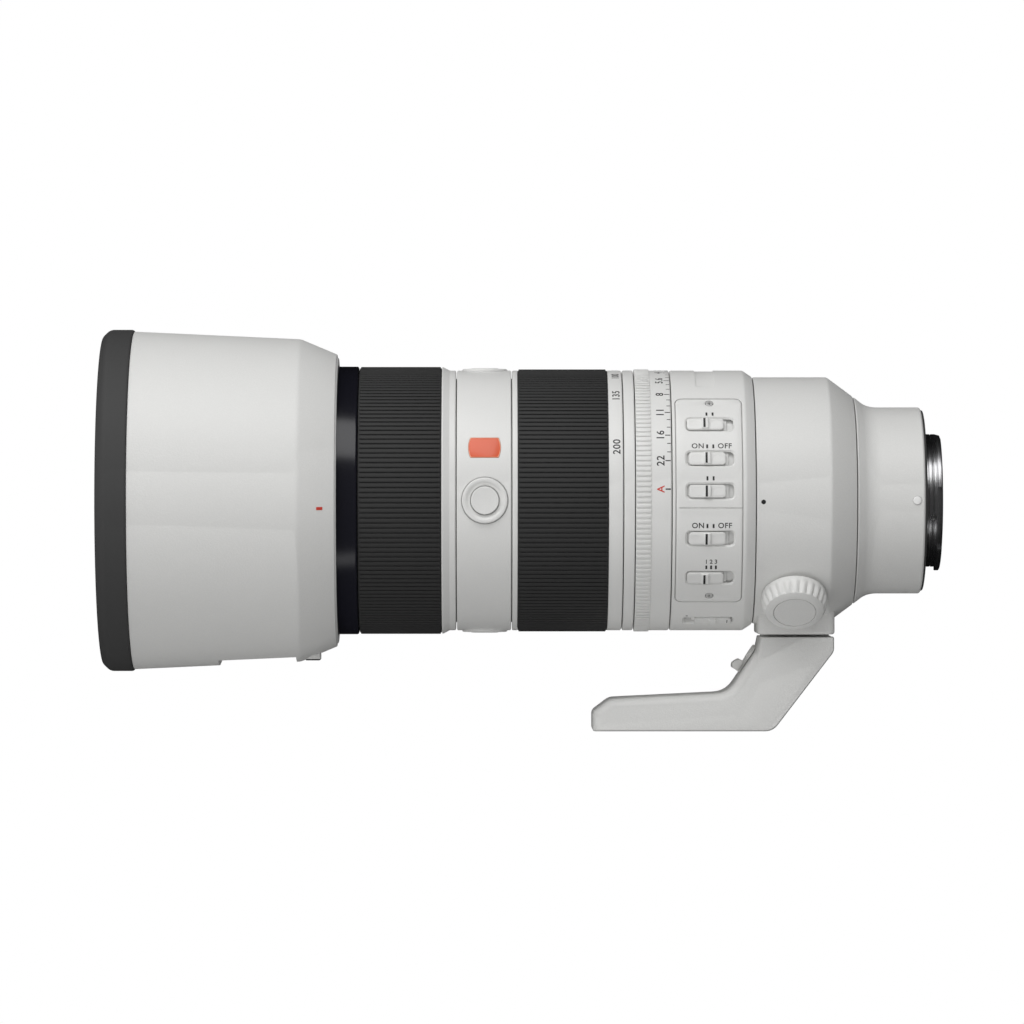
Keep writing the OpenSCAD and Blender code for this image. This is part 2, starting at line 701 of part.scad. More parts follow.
module stabiliser_cell() {
  x1 = x_mid_wall + 4 + 2 * ring_gap;
  color([0.1, 0.1, 0.1])
    turned([[x1, 22], [x1, 34], [x1 + 3, 34], [x1 + 3, 25], [x1 + 9, 25], [x1 + 9, 22]]);
}

module stabiliser_glass() {
  x1 = x_mid_wall + 4 + 2 * ring_gap;
  color([0.3, 0.35, 0.4, 0.4]) {
    turned(glass(x1 + 1, 1.8, 22 - seat_gap, 0.8, 0.4));
    turned(glass(x1 + 5, 1.8, 22 - seat_gap, -0.6, 0.8));
  }
}

// Switches ---------------------------------------------------------------

module slide_pocket(top) {
  block(x_slot - 8.9, x_slot + 8.9, slider_base_width + 0.7, slider_floor, top);
}

module switch_barrel() {
  color([0.86, 0.86, 0.85]) difference() {
    turned([[x_switch, fixed_in], [x_switch, barrel_r - 0.3], [x_switch + 0.3, barrel_r],
            [x_switch_end - 3, barrel_r], [x_switch_end, max(collar_r + 0.2, fixed_in + 0.6)],
            [x_switch_end, fixed_in]]);
    turned_arc(band(x_panel, x_panel + panel_length, panel_in - seat_gap, barrel_r + over),
               -panel_half_angle, panel_half_angle);
    for (a = switch_angles) around(a) slide_pocket(barrel_r);
    for (a = [iris_lock_angle, iris_click_angle]) around(a) {
      slide_pocket(panel_in - 0.1);
      rounded_plate(x_slot, slot_length + 1, slot_width, 1.2, slider_floor, barrel_r + 2);
    }
    for (a = screw_angles)
      around(a) translate([x_slot, 0, slider_floor]) cylinder(r = 0.7, h = 3, $fn = 24);
  }
}

module switch_panel() {
  edge = 0.15;
  color([0.84, 0.84, 0.83]) difference() {
    turned_arc(band(x_panel + seat_gap, x_panel + panel_length - seat_gap, panel_in, barrel_r),
               -panel_half_angle + edge, panel_half_angle - edge);
    for (a = switch_angles)
      around(a) rounded_plate(x_slot, slot_length, slot_width, 1.2, tube_r, barrel_r + 2);
    for (a = screw_angles)
      around(a) translate([x_slot, 0, slider_floor]) cylinder(r = screw_r + 0.1, h = 5, $fn = 32);
  }
}

module panel_screws() {
  color([0.7, 0.7, 0.7]) for (a = screw_angles)
    around(a) difference() {
      union() {
        translate([x_slot, 0, panel_in - 0.6]) cylinder(r = 0.65, h = 0.8, $fn = 24);
        translate([x_slot, 0, panel_in]) cylinder(r = screw_r, h = 0.65, $fn = 32);
      }
      block(x_slot - 0.75, x_slot + 0.75, 0.3, panel_in + 0.35, barrel_r + 1);
      block(x_slot - 0.15, x_slot + 0.15, 1.5, panel_in + 0.35, barrel_r + 1);
    }
}

// A slider at the rest end of its travel, with a ridge across its middle
module slide_switch(angle, travel) {
  x = x_slot - travel / 2;
  top = barrel_r + 0.4;
  color([0.86, 0.86, 0.85]) around(angle) {
    block(x - slider_base_length / 2, x + slider_base_length / 2, slider_base_width,
          slider_floor + 0.15, slider_floor + 0.65);
    rounded_plate(x, slider_length, slot_width - 0.6, 1, slider_floor + 0.6, top);
    rounded_plate(x, 2, slot_width - 0.6, 0.4, top - 0.2, top + 0.5);
  }
}

module focus_mode_switch() { slide_switch(focus_mode_angle, mode_travel); }
module full_time_switch() { slide_switch(full_time_angle, switch_travel); }
module focus_limit_switch() { slide_switch(focus_limit_angle, switch_travel); }
module stabiliser_switch() { slide_switch(stabiliser_angle, switch_travel); }
module stabiliser_mode_switch() { slide_switch(stabiliser_mode_angle, mode_travel); }
module iris_lock_switch() { slide_switch(iris_lock_angle, lock_travel); }
module iris_click_switch() { slide_switch(iris_click_angle, mode_travel); }

// Collar and foot --------------------------------------------------------

// Cross-section of the dovetail between the collar and the foot
module dovetail(grow, x1, x2, top) {
  translate([x1, 0, 0]) rotate([90, 0, 90]) linear_extrude(x2 - x1) polygon([
    [-rail_neck - grow, -top], [rail_neck + grow, -top], [rail_neck + grow, -foot_top - 0.8],
    [rail_foot + grow, -rail_drop + 0.6], [rail_foot + grow, -rail_drop - grow],
    [-rail_foot - grow, -rail_drop - grow], [-rail_foot - grow, -rail_drop + 0.6],
    [-rail_neck - grow, -foot_top - 0.8]]);
}

module collar_ring() {
  color([0.86, 0.86, 0.85]) difference() {
    union() {
      turned([[x_collar, 0], [x_collar, collar_r - 0.3], [x_collar + 0.3, collar_r], [x_bend, collar_r],
              [x_cone, cone_r], [x_cone, 0]]);
      block(pedestal_front, pedestal_end, foot_width, -pedestal_drop, -collar_in * 0.8);
      dovetail(0, x_rail, x_rail_end, pedestal_drop - 1);
    }
    turned([[x_collar - over, 0], [x_collar - over, collar_in], [x_bend - 0.8, collar_in],
            [x_cone, collar_in - cone_slope * (collar_cone_length + 0.8)],
            [x_cone + over, collar_in - cone_slope * (collar_cone_length + 0.8)], [x_cone + over, 0]]);
    around(knob_angle) translate([x_knob, 0, collar_in - 2]) cylinder(r = knob_screw_r + 0.08, h = 8);
  }
}

module collar_knob() {
  teeth = 24;
  shoulder = knob_height - 1.6;
  color([0.84, 0.84, 0.83]) around(knob_angle) translate([x_knob, 0, 0]) difference() {
    union() {
      translate([0, 0, collar_tube_r + 0.6]) cylinder(r = knob_screw_r, h = 3);
      translate([0, 0, knob_base]) linear_extrude(shoulder) polygon([
        for (i = [0:4 * teeth - 1]) let (r = knob_r - (i % 4 > 1 ? 0.6 : 0), a = i * 90 / teeth)
          [r * cos(a), r * sin(a)]]);
      translate([0, 0, knob_base + shoulder]) cylinder(r1 = knob_r - 0.6, r2 = knob_r - 1.6,
        h = knob_height - shoulder);
    }
    translate([0, 0, knob_base + knob_height - 0.6]) cylinder(r = knob_r - 3.8, h = 2);
  }
}

module knob_cap() {
  color([0.82, 0.82, 0.81]) around(knob_angle) translate([x_knob, 0, knob_base + knob_height - 0.6])
    cylinder(r = knob_r - 3.9, h = 0.5);
}

module foot() {
  back = pedestal_end - 0.1;
  corner = 5;
  color([0.8, 0.8, 0.79]) difference() {
    intersection() {
      translate([0, foot_width / 2, 0]) rotate([90, 0, 0]) linear_extrude(foot_width) polygon([
        [x_toe, -foot_drop], [x_toe, -foot_drop + 6], [x_toe + 0.7, -foot_drop + toe_height - 5],
        [x_toe + 5.7, -foot_drop + toe_height - 1], neck_foot - [1.5, -0.1], neck_foot + [1, 1.4],
        neck_head, [neck_head[0] + 0.9, -foot_top], [back, -foot_top], [back, -foot_top - 4.8],
        [x_collar + 7.7, -foot_drop + 1.7], [x_collar + 5, -foot_drop]]);
      union() {
        block(x_toe + corner, back + over, foot_width, -foot_drop - over, -foot_top + over);
        block(x_toe - over, x_toe + corner + over, foot_width - 2 * corner,
              -foot_drop - over, -foot_top + over);
        for (s = [-1, 1])
          translate([x_toe + corner, s * (foot_width / 2 - corner), -foot_drop - over])
            cylinder(r = corner, h = foot_drop - foot_top);
      }
    }
    dovetail(ring_gap, x_rail - ring_gap, back + over, foot_top - over);
    for (s = [-1, 1])
      translate([x_toe - over, s * foot_width / 2, -foot_drop + toe_height - 0.4]) rotate([45, 0, 0])
        block(0, neck_foot[0] - x_toe - 3, 3.6, -1.8, 1.8);
    translate([x_socket, 0, -foot_drop - over])
      cylinder(r = bush_r + seat_gap, h = tripod_depth + seat_gap + over);
  }
}

module foot_bush() {
  color([0.7, 0.7, 0.72]) translate([x_socket, 0, -foot_drop + 0.1]) difference() {
    cylinder(r = bush_r, h = tripod_depth - 0.1);
    translate([0, 0, -over]) cylinder(r = tripod_r, h = tripod_depth + 2 * over);
  }
}

module foot_lever() {
  lever_length = 7.2;
  color([0.82, 0.82, 0.81]) translate([lever_point[0], 0, lever_point[1]])
    rotate([0, -neck_angle, 0]) {
      translate([0, 0, 0.3]) cylinder(r = 3, h = 1.2);
      block(-lever_length, 0, 5, 0.3, 1.5);
      rounded_plate(-lever_length, 3.6, 8, 1, 1.1, 3.3);
    }
}

// Rear -------------------------------------------------------------------

module rear_barrel() {
  fillet_r = 5;
  fillet_angle = atan(cone_slope);
  fillet_x = x_rear + (cone_r - 0.2 - rear_r - fillet_r * (1 - cos(fillet_angle))) / cone_slope
             + fillet_r * sin(fillet_angle);
  color([0.86, 0.86, 0.85]) difference() {
    turned(concat(
      [[x_rear, rear_tube_r + seat_gap], [x_rear, cone_r - 0.5], [x_rear + 0.3, cone_r - 0.4]],
      [for (a = [fillet_angle:-fillet_angle / 6:0])
        [fillet_x - fillet_r * sin(a), rear_r + fillet_r * (1 - cos(a))]],
      [[x_gasket - 0.6, rear_r], [x_gasket, rear_r - 0.5], [x_gasket, flange_r + seat_gap],
       [x_ledge + 0.05, flange_r + seat_gap], [x_ledge + 0.05, rear_tube_r + seat_gap]]));
    around(0) translate([x_gasket - 2.7, 0, rear_r - 0.5]) cylinder(r = 1.45, h = 3, $fn = 32);
  }
}

module rear_cell() {
  flange_x = x_cone + 4;
  color([0.08, 0.08, 0.08]) turned([
    [x_collar + 8, 22], [x_collar + 8, 24], [flange_x, 24], [flange_x, rear_tube_in - seat_gap],
    [flange_x + 2, rear_tube_in - seat_gap], [flange_x + 2, 24], [x_ledge - 5, 24], [x_ledge - 5, 18],
    [x_ledge - 6.5, 18], [x_ledge - 6.5, 22]]);
}

module rear_glass() {
  color([0.3, 0.35, 0.4, 0.4]) {
    turned(glass(x_collar + 9.5, 5, 22 - seat_gap, 1.4, 1));
    turned(glass(x_collar + 19, 3.6, 22 - seat_gap, -1.2, -0.6));
    turned(glass(x_ledge - 12.6, 5, 22 - seat_gap, 1.2, 0.8));
  }
}

module circuit_board() {
  board_x = x_ledge - 9;
  color([0.1, 0.35, 0.2]) turned(band(board_x, board_x + 1, 24 + seat_gap, rear_tube_in - seat_gap));
  color([0.1, 0.1, 0.1]) for (a = [20:40:340])
    around(a) block(board_x - 1, board_x, 4, 24.6, 27.2);
}

module mount_gasket() {
  color([0.05, 0.05, 0.05]) turned(band(x_gasket + 0.02, -0.1, flange_r + seat_gap, flange_r + 1.3));
}

module mount_dot() {
  color([0.9, 0.9, 0.9]) around(0) translate([x_gasket - 2.7, 0, rear_r - 0.45])
    cylinder(r = 1.4, h = 0.9, $fn = 32);
}

module bayonet() {
  color([0.8, 0.8, 0.82]) difference() {
    union() {
      turned([[-flange_thickness, throat_r], [-flange_thickness, flange_r], [-0.2, flange_r],
              [0, flange_r - 0.2], [0, spigot_r], [spigot_length - 0.3, spigot_r],
              [spigot_length, spigot_r - 0.3],
              [spigot_length, throat_r]]);
      for (l = lugs)
        turned_arc(band(spigot_length - 1.6, spigot_length - 0.1, spigot_r - 0.5, lug_r), l[0], l[1]);
    }
    for (a = mount_screw_angles) around(a) {
      translate([-flange_thickness - over, 0, mount_screw_place_r]) rotate([0, 90, 0])
        cylinder(r = 0.9, h = 5, $fn = 24);
      translate([-1.3, 0, mount_screw_place_r]) rotate([0, 90, 0]) cylinder(r = 1.6, h = 3, $fn = 32);
    }
    around(lock_hole_angle) translate([-flange_thickness - over, 0, mount_screw_place_r])
      rotate([0, 90, 0]) cylinder(r = 1.5, h = 5, $fn = 32);
    around(-15) translate([spigot_length - 3, 0, spigot_r - 1]) cylinder(r = 0.9, h = 3, $fn = 24);
  }
}

module bayonet_screws() {
  color([0.6, 0.6, 0.62]) {
    for (a = mount_screw_angles) around(a) translate([0, 0, mount_screw_place_r]) rotate([0, 90, 0])
      difference() {
        union() {
          translate([0, 0, -1.25]) cylinder(r = 1.5, h = 1.15, $fn = 32);
          translate([0, 0, -flange_thickness - 2]) cylinder(r = 0.8, h = flange_thickness + 1, $fn = 24);
        }
        block(-1, 1, 0.4, -0.6, 1);
        block(-0.2, 0.2, 2, -0.6, 1);
      }
    around(-15) translate([spigot_length - 3, 0, spigot_r - 0.95]) cylinder(r = 0.8, h = 0.85, $fn = 24);
  }
}

module contact_block() {
  baffle_width = 31;
  baffle_height = 22;
  color([0.05, 0.05, 0.05]) difference() {
    union() {
      turned(band(-4, 1, 8, throat_r - seat_gap));
      turned_arc(band(0, spigot_length - 0.9, 15.4, throat_r - 0.3), -122, -58);
      turned(band(x_ledge - 5, -3.9, 17, 18));
    }
    rotate([0, 90, 0]) rounded_plate(0, baffle_height, baffle_width, 3, -20, 0.99);
    rotate([0, 90, 0]) rounded_plate(0, baffle_height, baffle_width, 3, 0.5, 20);
    for (i = [0:pin_count - 1])
      around(-90 + 5 * (i - (pin_count - 1) / 2)) translate([0.5, 0, 17.6]) rotate([0, 90, 0])
        cylinder(r = 0.55, h = 6, $fn = 24);
  }
}

module contact_pins() {
  color([0.85, 0.7, 0.35]) for (i = [0:pin_count - 1])
    around(-90 + 5 * (i - (pin_count - 1) / 2)) translate([0.6, 0, 17.6]) rotate([0, 90, 0])
      cylinder(r = 0.5, h = spigot_length - 1.2, $fn = 24);
}

hood_shell();
hood_bumper();
hood_window();
hood_release_button();
front_ring();
front_cell();
front_glass();
focus_ring();
focus_grip();
focus_cell();
focus_glass();
focus_rods();
focus_motor();
button_belt();
hold_button_bezels();
hold_button_side();
hold_button_top();
hold_button_bottom();
badge_plate();
main_barrel();
zoom_ring();
zoom_grip();
zoom_key();
cam_barrel();
guide_barrel();
zoom_cell();
zoom_glass();
index_band();
aperture_ring();
iris_housing();
iris_blades();
stabiliser_frame();
stabiliser_cell();
stabiliser_glass();
switch_barrel();
switch_panel();
panel_screws();
focus_mode_switch();
full_time_switch();
focus_limit_switch();
stabiliser_switch();
stabiliser_mode_switch();
iris_lock_switch();
iris_click_switch();
collar_ring();
collar_knob();
knob_cap();
foot();
foot_bush();
foot_lever();
rear_barrel();
rear_cell();
rear_glass();
circuit_board();
mount_gasket();
mount_dot();
bayonet();
bayonet_screws();
contact_block();
contact_pins();
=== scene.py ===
import logging
import math
from collections.abc import Callable, Iterable, Sequence
from dataclasses import dataclass, field
from enum import Enum

import bmesh
import bpy
from mathutils import Matrix, Vector


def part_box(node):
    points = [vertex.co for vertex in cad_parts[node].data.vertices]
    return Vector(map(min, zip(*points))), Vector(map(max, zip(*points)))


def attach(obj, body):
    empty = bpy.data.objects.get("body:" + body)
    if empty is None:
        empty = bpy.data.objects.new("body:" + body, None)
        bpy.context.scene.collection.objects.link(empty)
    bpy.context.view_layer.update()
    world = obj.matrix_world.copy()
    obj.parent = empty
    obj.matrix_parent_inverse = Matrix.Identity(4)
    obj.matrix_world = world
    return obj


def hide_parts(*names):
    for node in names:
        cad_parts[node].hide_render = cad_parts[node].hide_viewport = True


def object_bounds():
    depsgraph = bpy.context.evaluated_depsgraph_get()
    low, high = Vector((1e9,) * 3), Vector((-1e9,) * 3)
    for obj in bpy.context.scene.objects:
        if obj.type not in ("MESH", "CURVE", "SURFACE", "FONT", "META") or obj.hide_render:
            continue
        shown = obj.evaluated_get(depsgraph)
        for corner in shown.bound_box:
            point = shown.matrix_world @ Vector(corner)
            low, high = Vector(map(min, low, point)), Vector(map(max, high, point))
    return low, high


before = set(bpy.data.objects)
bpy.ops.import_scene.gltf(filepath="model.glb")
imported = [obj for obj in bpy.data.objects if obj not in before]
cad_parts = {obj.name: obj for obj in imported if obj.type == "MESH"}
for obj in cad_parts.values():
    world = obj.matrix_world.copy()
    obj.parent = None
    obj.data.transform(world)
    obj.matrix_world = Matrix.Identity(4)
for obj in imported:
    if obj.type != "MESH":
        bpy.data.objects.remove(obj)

# Looks of a telephoto zoom lens with its hood, tripod collar and foot. Sizes are in millimetres,
# the optical axis lies along X, and angles are counted round it from the switch side towards the top.
CAD_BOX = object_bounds()
MM = 0.001
LOG = logging.getLogger("lens")
Outline = list[tuple[float, float]]
Mesh = bmesh.types.BMesh


# Places ------------------------------------------------------------------

@dataclass(frozen=True)
class Span:
    """Place of a CAD node: its ends along the axis, and its outside radius."""

    front: float
    back: float
    radius: float

    @classmethod
    def of(cls, node: str) -> "Span":
        """Reads a node's place from the frame.

        Args:
            node: Name of the CAD node.

        Returns:
            The node's span.
        """
        low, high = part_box(node)
        return cls(low.x / MM, high.x / MM, high.z / MM)

    @property
    def middle(self) -> float:
        """Station halfway between the two ends."""
        return (self.front + self.back) / 2


def span_field(node: str) -> Span:
    """Dataclass field that holds the span of a CAD node."""
    return field(default_factory=lambda: Span.of(node))


def middle_of(node: str) -> Vector:
    """Middle of a CAD node's box, in millimetres."""
    low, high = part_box(node)
    return (low + high) / 2 / MM


def angle_of(point: Vector) -> float:
    """Angle round the axis of a point, in degrees."""
    return math.degrees(math.atan2(point.z, -point.y))


def around(angle: float, x: float = 0, height: float = 0) -> Matrix:
    """Frame set round the axis, with X along it, Y round it and Z outwards.

    Args:
        angle: Angle round the axis, in degrees.
        x: Station along the axis.
        height: Distance from the axis.

    Returns:
        The matrix from the local frame to the lens.
    """
    c, s = math.cos(math.radians(angle)), math.sin(math.radians(angle))
    return Matrix(((1, 0, 0, x), (0, s, -c, -height * c), (0, c, s, height * s), (0, 0, 0, 1)))


READS_ROUND = Matrix(((0, -1, 0, 0), (1, 0, 0, 0), (0, 0, 1, 0), (0, 0, 0, 1)))
ALONG_AXIS = Matrix(((0, 0, 1, 0), (1, 0, 0, 0), (0, 1, 0, 0), (0, 0, 0, 1)))
UPRIGHT = Matrix(((1, 0, 0, 0), (0, 0, -1, 0), (0, 1, 0, 0), (0, 0, 0, 1)))
TAB_ANGLES = (90, 210, 330)


# Mesh work ---------------------------------------------------------------

def rounded(points: Sequence[tuple[float, ...]], steps: int = 4) -> Outline:
    """Closed outline whose corners are rounded.

    Args:
        points: Corners as (x, radius), or (x, radius, size of the rounding).
        steps: Number of short sides in a rounded corner.

    Returns:
        The outline's points.
    """
    found: Outline = []
    for i, point in enumerate(points):
        here = Vector(point[:2])
        if len(point) < 3:
            found.append((here.x, here.y))
            continue
        before = Vector(points[i - 1][:2]) - here
        after = Vector(points[(i + 1) % len(points)][:2]) - here
        start = here + before.normalized() * min(point[2], before.length * 0.48)
        end = here + after.normalized() * min(point[2], after.length * 0.48)
        for k in range(steps + 1):
            t = k / steps
            p = start * (1 - t) ** 2 + here * (2 * t * (1 - t)) + end * t * t
            found.append((p.x, p.y))
    return found


def inset(corners: Sequence[tuple[float, float, float]],
          sizes: Sequence[float]) -> list[tuple[float, float, float]]:
    """Moves each side of a polygon inwards.

    Args:
        corners: Corners as (x, z, size of the rounding), clockwise as seen with z up.
        sizes: How far each side moves; the first runs from the first corner to the second.

    Returns:
        The new corners, with the same roundings.
    """
    found = []
    for i, (x, z, size) in enumerate(corners):
        before, after = corners[i - 1], corners[(i + 1) % len(corners)]
        u = Vector((x - before[0], z - before[1])).normalized()
        v = Vector((after[0] - x, after[1] - z)).normalized()
        one, two = Vector((u.y, -u.x)), Vector((v.y, -v.x))
        turn = one.x * two.y - one.y * two.x
        a, b = sizes[i - 1], sizes[i]
        move = Vector((a * two.y - b * one.y, b * one.x - a * two.x)) / turn
        found.append((x + move.x, z + move.y, size))
    return found


def band(x1: float, x2: float, r1: float, r2: float) -> Outline:
    """Outline of a plain band between two stations and two radii."""
    return [(x1, r1), (x1, r2), (x2, r2), (x2, r1)]


def revolved(outline: Sequence[tuple[float, float]], start: float = 0, stop: float = 360,
             segments: int = 288) -> Mesh:
    """Solid turned about the optical axis from a closed outline.

    Args:
        outline: Points as (x, radius).
        start: First angle, in degrees.
        stop: Last angle, in degrees.
        segments: Steps in a full turn.

    Returns:
        The mesh, closed, with its faces outwards.
    """
    whole = stop - start >= 360
    count = segments if whole else max(2, math.ceil(segments * (stop - start) / 360))
    mesh = bmesh.new()
    rings = []
    for i in range(count if whole else count + 1):
        a = math.radians(start + (stop - start) * i / count)
        rings.append([mesh.verts.new((x, -r * math.cos(a), r * math.sin(a))) for x, r in outline])
    for i in range(count):
        bridge(mesh, rings[i], rings[(i + 1) % len(rings)])
    if not whole:
        mesh.faces.new(rings[0])
        mesh.faces.new(reversed(rings[-1]))
    return closed(mesh)


def spun(outline: Sequence[tuple[float, float]], segments: int = 64) -> Mesh:
    """Solid turned about the local Z axis from an open outline that starts and ends at the axis.

    Args:
        outline: Points as (radius, z).
        segments: Steps in the turn.

    Returns:
        The mesh, closed, with its faces outwards.
    """
    mesh = bmesh.new()
    turns = [2 * math.pi * i / segments for i in range(segments)]
    rings = [[mesh.verts.new((r * math.cos(a), r * math.sin(a), z)) for a in turns] for r, z in outline]
    for k in range(len(outline) if outline[0][0] > 0 else len(outline) - 1):
        bridge(mesh, rings[k], rings[(k + 1) % len(rings)])
    return closed(mesh)


def pin(radius: float, low: float, high: float, segments: int = 40) -> Mesh:
    """Plain round pin on the local Z axis, between two heights."""
    return spun([(0, low), (radius, low), (radius, high), (0, high)], segments)


def bridge(mesh: Mesh, one: Sequence[bmesh.types.BMVert], two: Sequence[bmesh.types.BMVert],
           ring: bool = True) -> None:
    """Adds the faces between two rows of vertices.

    Args:
        mesh: Mesh that holds the vertices.
        one: First row.
        two: Second row, equally long.
        ring: Whether the rows close on themselves.
    """
    for i in range(len(one) if ring else len(one) - 1):
        j = (i + 1) % len(one)
        mesh.faces.new((one[i], one[j], two[j], two[i]))


def closed(mesh: Mesh) -> Mesh:
    """Merges doubles, drops faces without area and turns the rest outwards."""
    bmesh.ops.remove_doubles(mesh, verts=mesh.verts, dist=1e-5)
    bmesh.ops.dissolve_degenerate(mesh, edges=mesh.edges, dist=1e-6)
    bmesh.ops.recalc_face_normals(mesh, faces=mesh.faces)
    return mesh


def placed(mesh: Mesh, matrix: Matrix) -> Mesh:
    """Moves a mesh by a matrix, and gives it back."""
    mesh.transform(matrix)
    return mesh


def shifted(mesh: Mesh, x: float = 0, z: float = 0) -> Mesh:
    """Moves a mesh along the lens and upwards, and gives it back."""
    return placed(mesh, Matrix.Translation((x, 0, z)))


def block(x1: float, x2: float, width: float, z1: float, z2: float, bevel: float = 0,
          steps: int = 3) -> Mesh:
    """Block between two stations and two heights, centred across, with softened edges.

    Args:
        x1: First station.
        x2: Last station.
        width: Size across.
        z1: Lower height.
        z2: Upper height.
        bevel: Size of the rounding along the edges.
        steps: Number of faces in the rounding.

    Returns:
        The mesh.
    """
    mesh = bmesh.new()
    bmesh.ops.create_cube(mesh, size=1)
    for v in mesh.verts:
        v.co = ((x1 + x2) / 2 + v.co.x * (x2 - x1), v.co.y * width, (z1 + z2) / 2 + v.co.z * (z2 - z1))
    if bevel:
        bmesh.ops.bevel(mesh, geom=mesh.edges[:], offset=bevel, segments=steps, profile=0.5, affect="EDGES")
    return mesh


def extruded(points: Sequence[tuple[float, float]], low: float, high: float) -> Mesh:
    """Prism over a closed polygon in the local XY plane, between two heights."""
    return tapered(points, points, low, high)


def tapered(lower: Sequence[tuple[float, float]], upper: Sequence[tuple[float, float]], low: float,
            high: float) -> Mesh:
    """Closed shape between two outlines with equally many points, at two heights."""
    mesh = bmesh.new()
    one = [mesh.verts.new((x, y, low)) for x, y in lower]
    two = [mesh.verts.new((x, y, high)) for x, y in upper]
    bridge(mesh, one, two)
    mesh.faces.new(one)
    mesh.faces.new(two)
    return closed(mesh)


def joined(parts: Iterable[Mesh]) -> Mesh:
    """Several meshes as one."""
    whole = bmesh.new()
    for part in parts:
        data = bpy.data.meshes.new("part")
        part.to_mesh(data)
        part.free()
        whole.from_mesh(data)
        bpy.data.meshes.remove(data)
    return whole


def linked(name: str, data: bpy.types.ID) -> bpy.types.Object:
    """Object that holds some data, put in the scene."""
    thing = bpy.data.objects.new(name, data)
    bpy.context.scene.collection.objects.link(thing)
    return thing


def loose_object(mesh: Mesh) -> bpy.types.Object:
    """Puts a mesh in a throwaway object."""
    data = bpy.data.meshes.new("loose")
    mesh.to_mesh(data)
    mesh.free()
    return linked("loose", data)


def taken(thing: bpy.types.Object) -> Mesh:
    """The evaluated mesh of a throwaway object, which is then removed."""
    data = bpy.data.meshes.new_from_object(thing.evaluated_get(bpy.context.evaluated_depsgraph_get()))
    mesh = bmesh.new()
    mesh.from_mesh(data)
    bpy.data.meshes.remove(data)
    bpy.data.objects.remove(thing)
    return mesh


def meshed(curve: bpy.types.Curve) -> Mesh:
    """The mesh of a curve, which is then removed."""
    mesh = taken(linked("loose", curve))
    bpy.data.curves.remove(curve)
    return mesh


def carved(body: Mesh, *tools: Mesh, mode: str = "DIFFERENCE") -> Mesh:
    """Cuts tools out of a body, or adds them to it.

    Args:
        body: Mesh to work on.
        tools: Closed meshes.
        mode: Boolean operation.

    Returns:
        The resulting mesh.
    """
    thing = loose_object(body)
    helpers = [loose_object(t) for t in tools]
    for helper in helpers:
        cut = thing.modifiers.new("cut", "BOOLEAN")
        cut.operation = mode
        cut.solver = "EXACT"
        cut.object = helper
    mesh = taken(thing)
    for helper in helpers:
        bpy.data.objects.remove(helper)
    bmesh.ops.remove_doubles(mesh, verts=mesh.verts, dist=1e-4)
    return mesh


def wrapped(flat: Mesh, radius: float, angle: float, step: float = 1.0) -> Mesh:
    """Bends a flat mesh round the axis: its Y runs round the axis, and its Z is the distance from it.

    Args:
        flat: Mesh in the local frame.
        radius: Radius at which lengths in Y are true.
        angle: Angle round the axis where Y is zero, in degrees.
        step: Longest run in Y that stays straight.

    Returns:
        The bent mesh.
    """
    low = min(v.co.y for v in flat.verts)
    high = max(v.co.y for v in flat.verts)
    for k in range(1, math.ceil((high - low) / step)):
        bmesh.ops.bisect_plane(flat, geom=flat.verts[:] + flat.edges[:] + flat.faces[:], dist=1e-6,
                               plane_co=(0, low + k * step, 0), plane_no=(0, 1, 0))
    for v in flat.verts:
        a = math.radians(angle) + v.co.y / radius
        v.co = (v.co.x, -v.co.z * math.cos(a), v.co.z * math.sin(a))
    return flat


def rounded_rectangle(x: float, y: float, length: float, width: float, corner: float,
                      steps: int = 5) -> Outline:
    """Points of a rectangle with rounded corners, centred on (x, y)."""
    points = []
    for sx, sy, first in ((1, 1, 0), (-1, 1, 90), (-1, -1, 180), (1, -1, 270)):
        for k in range(steps + 1):
            a = math.radians(first + 90 * k / steps)
            points.append((x + sx * (length / 2 - corner) + corner * math.cos(a),
                           y + sy * (width / 2 - corner) + corner * math.sin(a)))
    return points


def plate(loops: Sequence[Outline], low: float, high: float, bevel: float = 0.1) -> Mesh:
    """Flat plate with holes and softened edges.

    Args:
        loops: The outer loop, then the holes.
        low: Height of the underside.
        high: Height of the top.
        bevel: Rounding of the edges.

    Returns:
        The mesh.
    """
    curve = bpy.data.curves.new("plate", "CURVE")
    curve.dimensions = "2D"
    curve.fill_mode = "BOTH"
    curve.extrude = (high - low) / 2 - bevel
    curve.bevel_depth = bevel
    curve.bevel_resolution = 1
    curve.offset = -bevel
    for loop in loops:
        line = curve.splines.new("POLY")
        line.points.add(len(loop) - 1)
        for point, (x, y) in zip(line.points, loop):
            point.co = (x, y, 0, 1)
        line.use_cyclic_u = True
    return shifted(closed(meshed(curve)), z=(low + high) / 2)


def lettering(text: str, size: float, thickness: float = 0.03) -> Mesh:
    """Flat lettering in the local XY plane, centred on the origin.

    Args:
        text: What it says.
        size: Height of the type.
        thickness: Thickness of the ink.

    Returns:
        The mesh.
    """
    curve = bpy.data.curves.new("ink", "FONT")
    curve.body = text
    curve.size = size
    curve.align_x = curve.align_y = "CENTER"
    curve.extrude = thickness / 2
    curve.offset = size * 0.012
    curve.resolution_u = 3
    curve.space_character = 1.08
    mesh = meshed(curve)
    bmesh.ops.remove_doubles(mesh, verts=mesh.verts, dist=1e-5)
    return mesh


def tinted(mesh: Mesh, index: int, test: Callable[[Vector, Vector], bool] | None = None) -> Mesh:
    """Gives a mesh's faces, or those that pass a test, another of the piece's finishes.

    Args:
        mesh: Mesh to dress.
        index: Number of the finish.
        test: Takes a face's middle and its normal.

    Returns:
        The same mesh.
    """
    for face in mesh.faces:
        if test is None or test(face.calc_center_median(), face.normal):
            face.material_index = index
    return mesh


